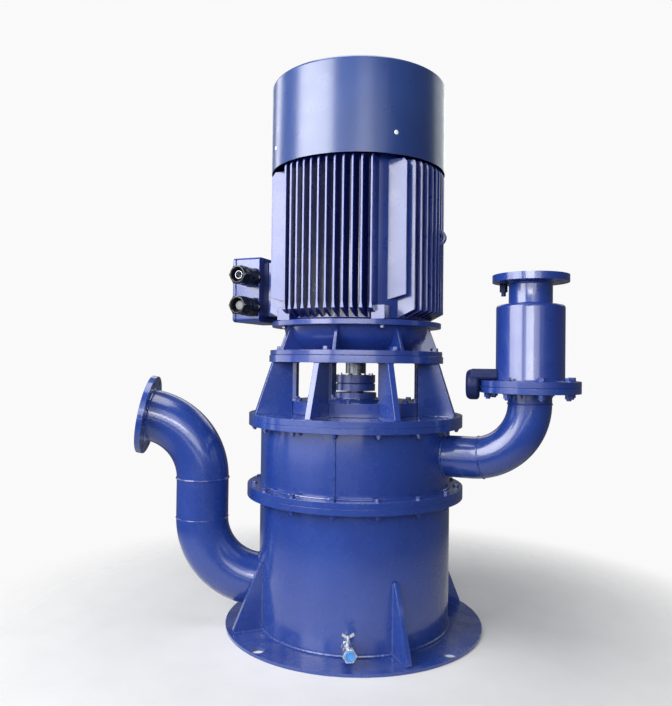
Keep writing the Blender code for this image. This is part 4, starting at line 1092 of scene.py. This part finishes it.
def discharge_pipe():
    outward = Vector((1, 0, 0))
    pipe_r, bend_r, bore = OUT_PIPE_R, OUT_BEND_R, OUT_BORE_R
    lower_face = OUT_JOINT_Z - OUT_FLANGE_T
    level = UP * OUT_AXIS_Z
    stations = [(outward * (BARREL_R - 0.03) + level, outward)]
    stations += bend(outward * (OUT_X - bend_r) + level, outward, UP, bend_r, 90.0)
    stations.append((outward * OUT_X + UP * (lower_face - GAP), UP))
    elbow = bored(pipe_along(stations, pipe_r, bore), disc(BARREL_R + GAP, MID_Z, TOP_Z, sides=ROUND))
    piece("fine_discharge_elbow", elbow, PLATE, "discharge_elbow")
    flange = disc(OUT_FLANGE_R, lower_face, OUT_JOINT_Z - 2 * GAP, bore, FLANGED)
    piece("fine_elbow_flange", moved(flange, OUT_PLACE), PLATE, "discharge_elbow_flange", edge=EDGE)
    size = OUT_BEADS["pipe"]
    bend_top = OUT_PLACE @ raised(OUT_AXIS_Z + bend_r)
    flange_foot = OUT_PLACE @ raised(lower_face - 0.001)
    welds = [ring_bead(pipe_r + 0.001, OUT_BEADS["flange"], flange_foot),
             ring_bead(pipe_r, size, bend_top),
             ring_bead(pipe_r, size, along(*stations[OUT_WELD_STATION]))]
    piece("discharge_welds", joined(welds), PLATE)


def valve_boss():
    """The rounded boss at the left of the check valve's flange, in the near-black enamel as painted shade."""
    root = OUT_FLANGE_R + 0.001
    centre = BOSS_R - BOSS_ROUNDING, BOSS_REACH - BOSS_ROUNDING
    profile = [(0.0, root), (BOSS_R, root)] + arc(centre, BOSS_ROUNDING, 0, 90, 6) + [(0.0, BOSS_REACH)]
    place = along((OUT_X, 0, OUT_JOINT_Z + BOSS_RISE), polar(1.0, BOSS_ANGLE))
    drum = moved(formed(profile, MEDIUM), place)
    foot, half = OUT_JOINT_Z + OUT_FLANGE_T + GAP, BOSS_ARM_HALF
    arm = block((BOSS_ARM_ROOT, -half, foot), (BOSS_REACH - 0.012, half, foot + BOSS_ARM_HEIGHT))
    moved(arm, OUT_PLACE @ spin(BOSS_ANGLE))
    piece("valve_boss", joined([drum, arm]), SHADED_ENAMEL, edge=0.0120, steps=5)


def check_valve():
    foot, bore, top, inner = OUT_JOINT_Z, OUT_BORE_R, VALVE_TOP_Z, VALVE_R - 0.016
    step = foot + OUT_FLANGE_T
    profile = [(bore, foot), (OUT_FLANGE_R, foot), (OUT_FLANGE_R, step),
               (VALVE_R + 0.004, step), (VALVE_R + 0.001, step + 0.0015), (VALVE_R, step + 0.005)]
    profile += arc((VALVE_R - VALVE_SHOULDER, top - VALVE_SHOULDER), VALVE_SHOULDER, 0, 90, 6)
    profile += [(NECK_BORE_R, top), (NECK_BORE_R, top - 0.014), (inner, top - 0.026),
                (inner, step + 0.010), (bore, step - 0.002)]
    body = moved(formed(profile, FLANGED), OUT_PLACE)
    piece("fine_check_valve", body, CAST, "check_valve_body", edge=EDGE)
    valve_boss()
    heads = circle_places(*OUT_BOLTS, step)
    del heads[BOSS_HOLE]
    nuts = circle_places(*OUT_BOLTS, foot - OUT_FLANGE_T, True)
    bolts = joined([copies(bolt_head("m16"), heads), copies(nut_with_end("m16"), nuts)])
    piece("valve_bolts", moved(bolts, OUT_PLACE), PLATE, edge=BOLT_EDGE)


def discharge_outlet():
    foot, top, flange_z, outer = VALVE_TOP_Z + GAP, OUTLET_TOP_Z, OUTLET_FLANGE_Z, OUTLET_FLANGE_R
    rim, fillet, neck = top - 0.002, 0.010, NECK_R
    profile = [(NECK_BORE_R, foot), (neck + 0.003, foot), (neck + 0.001, foot + 0.003), (neck, foot + 0.006)]
    profile += arc((neck + fillet, flange_z - fillet), fillet, 180, 90, 5)
    profile += [(outer, flange_z), (outer, rim), (OUTLET_FACE_R + 0.0015, rim), (OUTLET_FACE_R, top)]
    profile += grooves(OUTLET_FACE_R - 0.0045, NECK_BORE_R, top)
    outlet = moved(formed(profile, FLANGED), OUT_PLACE)
    holes = flange_holes(OUT_PLACE @ raised((flange_z + top) / 2), OUTLET_BOLT_R, 0.060)
    piece("fine_discharge_outlet", bored(outlet, holes), PLATE, "discharge_outlet", edge=EDGE)
    flat, *_, thread_r = BOLT_SIZES["m16"]
    shank = disc(thread_r, -0.024, LEFT_BOLT_DROP, sides=SMALL)
    bolt = joined([shank, hex_prism(flat, 0.0005, 0.0260, both_ends=True)])
    spot = OUT_PLACE @ polar(OUTLET_BOLT_R, LEFT_BOLT_ANGLE, flange_z)
    # the hanging bolt in the near-black enamel: painted shade under the flange
    piece("left_outlet_bolt", moved(bolt, along(spot, (0, 0, -1))), SHADED_ENAMEL, edge=0.0006)


# Drain valve
def drain_valve():
    seat = polar(DRAIN_SEAT_R, DRAIN_ANGLE)
    axis = along(seat + UP * DRAIN_Z, polar(1.0, DRAIN_HEADING))
    socket_r, socket, reach, side = DRAIN_PLUG_R + GAP, DRAIN_SOCKET, DRAIN_REACH, hexagon(0.0203)
    nipple = [(0.0, -DRAIN_NIPPLE), (0.013, -DRAIN_NIPPLE), (0.013, -0.024), (0.0, -0.024)]
    ball = [(0.0, -0.024), (0.0165, -0.0235), (0.0175, -0.018)]
    for index in range(11):
        height = -0.014 + 0.028 * index / 10
        ball.append((sqrt(0.0215 ** 2 - (0.55 * height) ** 2) - 0.0005, height))
    ball += [(0.0175, 0.020), (0.0165, 0.0315), (0.0, 0.0315)]
    front = [(side, 0.0312), (side, reach - 0.0008), (0.0196, reach), (socket_r, reach),
             (socket_r, socket), (0.0, socket), (0.0, 0.0312)]
    rear_hex = hex_prism(0.0175, -0.034, -0.0215, both_ends=True)
    body = moved(joined([formed(nipple, SMALL), formed(ball, FINE), rear_hex, formed(front, FINE)]), axis)
    foot, ledge, top = DRAIN_Z + 0.012, DRAIN_NECK_Z - 0.006, DRAIN_NECK_Z
    neck = [(0.0048, foot), (0.0085, foot), (0.0085, ledge), (0.0075, ledge), (0.0075, top), (0.0048, top)]
    stem_nut = hex_prism(0.0070, top - 0.009, top - 0.002, 0.0048, True)
    upright = moved(joined([formed(neck, SMALL), stem_nut]), shift(seat))
    shape = joined([body, upright])
    piece("fine_drain_valve", shape, PLATED, "drain_valve_body", edge=0.0006)
    foot, lip, hollow = socket + GAP, reach + 0.001, reach - 0.0015
    plug = [(0.0, foot), (DRAIN_PLUG_R, foot), (DRAIN_PLUG_R, reach - 0.001), (DRAIN_PLUG_R - 0.0015, lip),
            (0.0120, lip), (0.0112, hollow), (0.0, hollow)]
    plug = moved(formed(plug, FINE), axis)
    piece("fine_drain_plug", plug, CAP, "drain_valve_plug", edge=0.0004)


def drain_handle():
    foot, hub = DRAIN_Z + 0.0143, DRAIN_NECK_Z + 0.006
    shoulder, top = hub + 0.006, hub + 0.009
    stem = [(0.0, foot), (0.0045, foot), (0.0045, hub), (0.0070, hub), (0.0070, shoulder), (0.0, shoulder)]
    wing = [(0.006, 0.001), (0.020, 0.008), (0.0195, 0.013), (0.017, 0.018), (0.004, 0.008)]
    outline = [(-x, z) for x, z in wing[:1]] + wing + [(-x, z) for x, z in reversed(wing[1:])]
    wings = moved(standing_plate(outline, 0.004, DRAIN_HEADING + 90.0), raised(hub))
    shapes = joined([formed(stem, SMALL), hex_prism(0.0055, shoulder, top), wings])
    moved(shapes, shift(polar(DRAIN_SEAT_R, DRAIN_ANGLE)))
    piece("fine_drain_handle", shapes, STEEL, "drain_valve_handle", "drain_handle", 0.0010)


def dress_fan():
    """The fan keeps its own shape and gets its finish."""
    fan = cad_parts["cooling_fan"]
    fan.data.materials.clear()
    fan.data.materials.append(PLASTIC)


# Stage, lights and camera
GROUND_R = 7.0
GROUND_Z = -0.0005
GROUND_FADE = 0.50, 1.60  # between these reaches the floor fades out


def stage():
    made = Surface("pale_floor")
    grain = made.noise(6.0, 5.0, 0.6, 0.3, 0.7)
    colour = made.mix(grain, (0.62, 0.62, 0.63), (0.66, 0.66, 0.665))
    made.paint(colour, made.noise(14.0, 3.0, 0.6, 0.3, 0.7, 0.42, 0.55))
    made.feed(made.shader.inputs["Alpha"], made.spread(made.reach(), *GROUND_FADE, 1.0, 0.0))
    mesh = mesh_of("floor", disc(GROUND_R, -0.02, GROUND_Z, sides=ROUND))
    mesh.materials.append(made.material)
    added("floor", mesh)


SOFTBOXES = [  # degrees from the camera's side, distance, heights, width, radiance
    ("key", -58.0, 3.4, (1.7, 4.3), 3.1, 9.0),
    ("key_side", -58.0, 3.4, (1.0, 1.7), 1.7, 8.2, 0.7),
    ("key_foot", -58.0, 3.4, (0.15, 1.0), 3.1, 1.4),
    ("left_fill", -108.0, 3.4, (0.3, 1.6), 2.2, 1.8),
    ("valve_front", -2.5, 3.2, (0.95, 1.85), 2.9, 3.6),
    ("neck_front", -6.0, 3.1, (1.50, 1.85), 1.3, 11.0),
    ("ring_front", 8.0, 3.1, (0.97, 1.15), 5.0, 1.6),
    ("flange_front", -14.0, 3.2, (0.34, 0.46), 2.4, 3.5),
    ("front", 3.0, 4.2, (1.95, 4.3), 5.0, 0.9),
    ("front_strip", 6.0, 4.1, (1.95, 4.3), 1.3, 1.8),
    ("right_rim", 135.0, 3.4, (2.2, 4.0), 3.0, 0.9, 0.0, (0.92, 1.0, 0.98)),
    ("left_rim", -128.0, 3.4, (2.2, 4.0), 0.75, 3.5),
    ("back", 175.0, 4.4, (2.5, 4.4), 4.6, 1.3),
]
OVERHEAD = (-0.2, -0.4, 4.6), 2.4, 4.2  # place, width, radiance


def area_light(name, width, height, radiance, colour=(1.0, 1.0, 1.0)):
    data = bpy.data.lights.new(name, "AREA")
    data.shape = "RECTANGLE"
    data.size, data.size_y = width, height
    data.energy = radiance * pi * width * height
    data.color = colour
    lamp = added(name, data)
    lamp.visible_camera = False
    return lamp


def softbox(name, degrees, distance, span, width, radiance, aside=0.0, *colour):
    """An upright softbox at an angle round the pump, between two heights, facing its axis."""
    lamp = area_light(name, width, span[1] - span[0], radiance, *colour)
    lamp.location = polar(distance, degrees, sum(span) / 2) + polar(aside, degrees + 90.0)
    lamp.rotation_mode = "QUATERNION"
    lamp.rotation_quaternion = polar(-1.0, degrees).to_track_quat("-Z", "Y")


def lights():
    """Softboxes whose heights choose what reflects them, and one light from above."""
    facing = atan2(-CAMERA_FORWARD.y, -CAMERA_FORWARD.x) * 180 / pi
    for name, degrees, *values in SOFTBOXES:
        softbox(name, facing + degrees, *values)
    place, width, radiance = OVERHEAD
    area_light("overhead", width, width, radiance).location = place


def sky():
    """White where the camera looks past the object, dimmer where it lights it."""
    world = bpy.data.worlds.new("studio")
    bpy.context.scene.world = world
    world.use_nodes = True
    nodes, links = world.node_tree.nodes, world.node_tree.links
    nodes.clear()
    mix = nodes.new("ShaderNodeMixShader")
    links.new(nodes.new("ShaderNodeLightPath").outputs["Is Camera Ray"], mix.inputs["Fac"])
    for socket, colour, strength in ((1, (0.80, 0.85, 1.0, 1.0), 0.12), (2, (1.0, 1.0, 1.0, 1.0), 0.95)):
        glow = nodes.new("ShaderNodeBackground")
        glow.inputs["Color"].default_value = colour
        glow.inputs["Strength"].default_value = strength
        links.new(glow.outputs["Background"], mix.inputs[socket])
    links.new(mix.outputs["Shader"], nodes.new("ShaderNodeOutputWorld").inputs["Surface"])


def camera():
    data = bpy.data.cameras.new("camera")
    data.lens = CAMERA_LENS
    made = added("camera", data)
    right = CAMERA_FORWARD.cross(UP).normalized()
    basis = Matrix((right, right.cross(CAMERA_FORWARD), -CAMERA_FORWARD)).transposed().to_4x4()
    made.matrix_world = shift(CAMERA_PLACE) @ basis @ spin(CAMERA_ROLL)
    bpy.context.scene.camera = made


camera()
stage()
sky()
lights()
bpy.context.scene.view_settings.view_transform = "Standard"

base_plate()
gussets()
barrels()
barrel_welds()
barrel_bolts()
lantern()
bearing_housing()
coupling()
end_shield()
motor_frame()
fan_cowl()
terminal_box()
cable_glands()
lifting_eyes()
suction_pipe()
discharge_pipe()
check_valve()
discharge_outlet()
drain_valve()
drain_handle()
dress_fan()
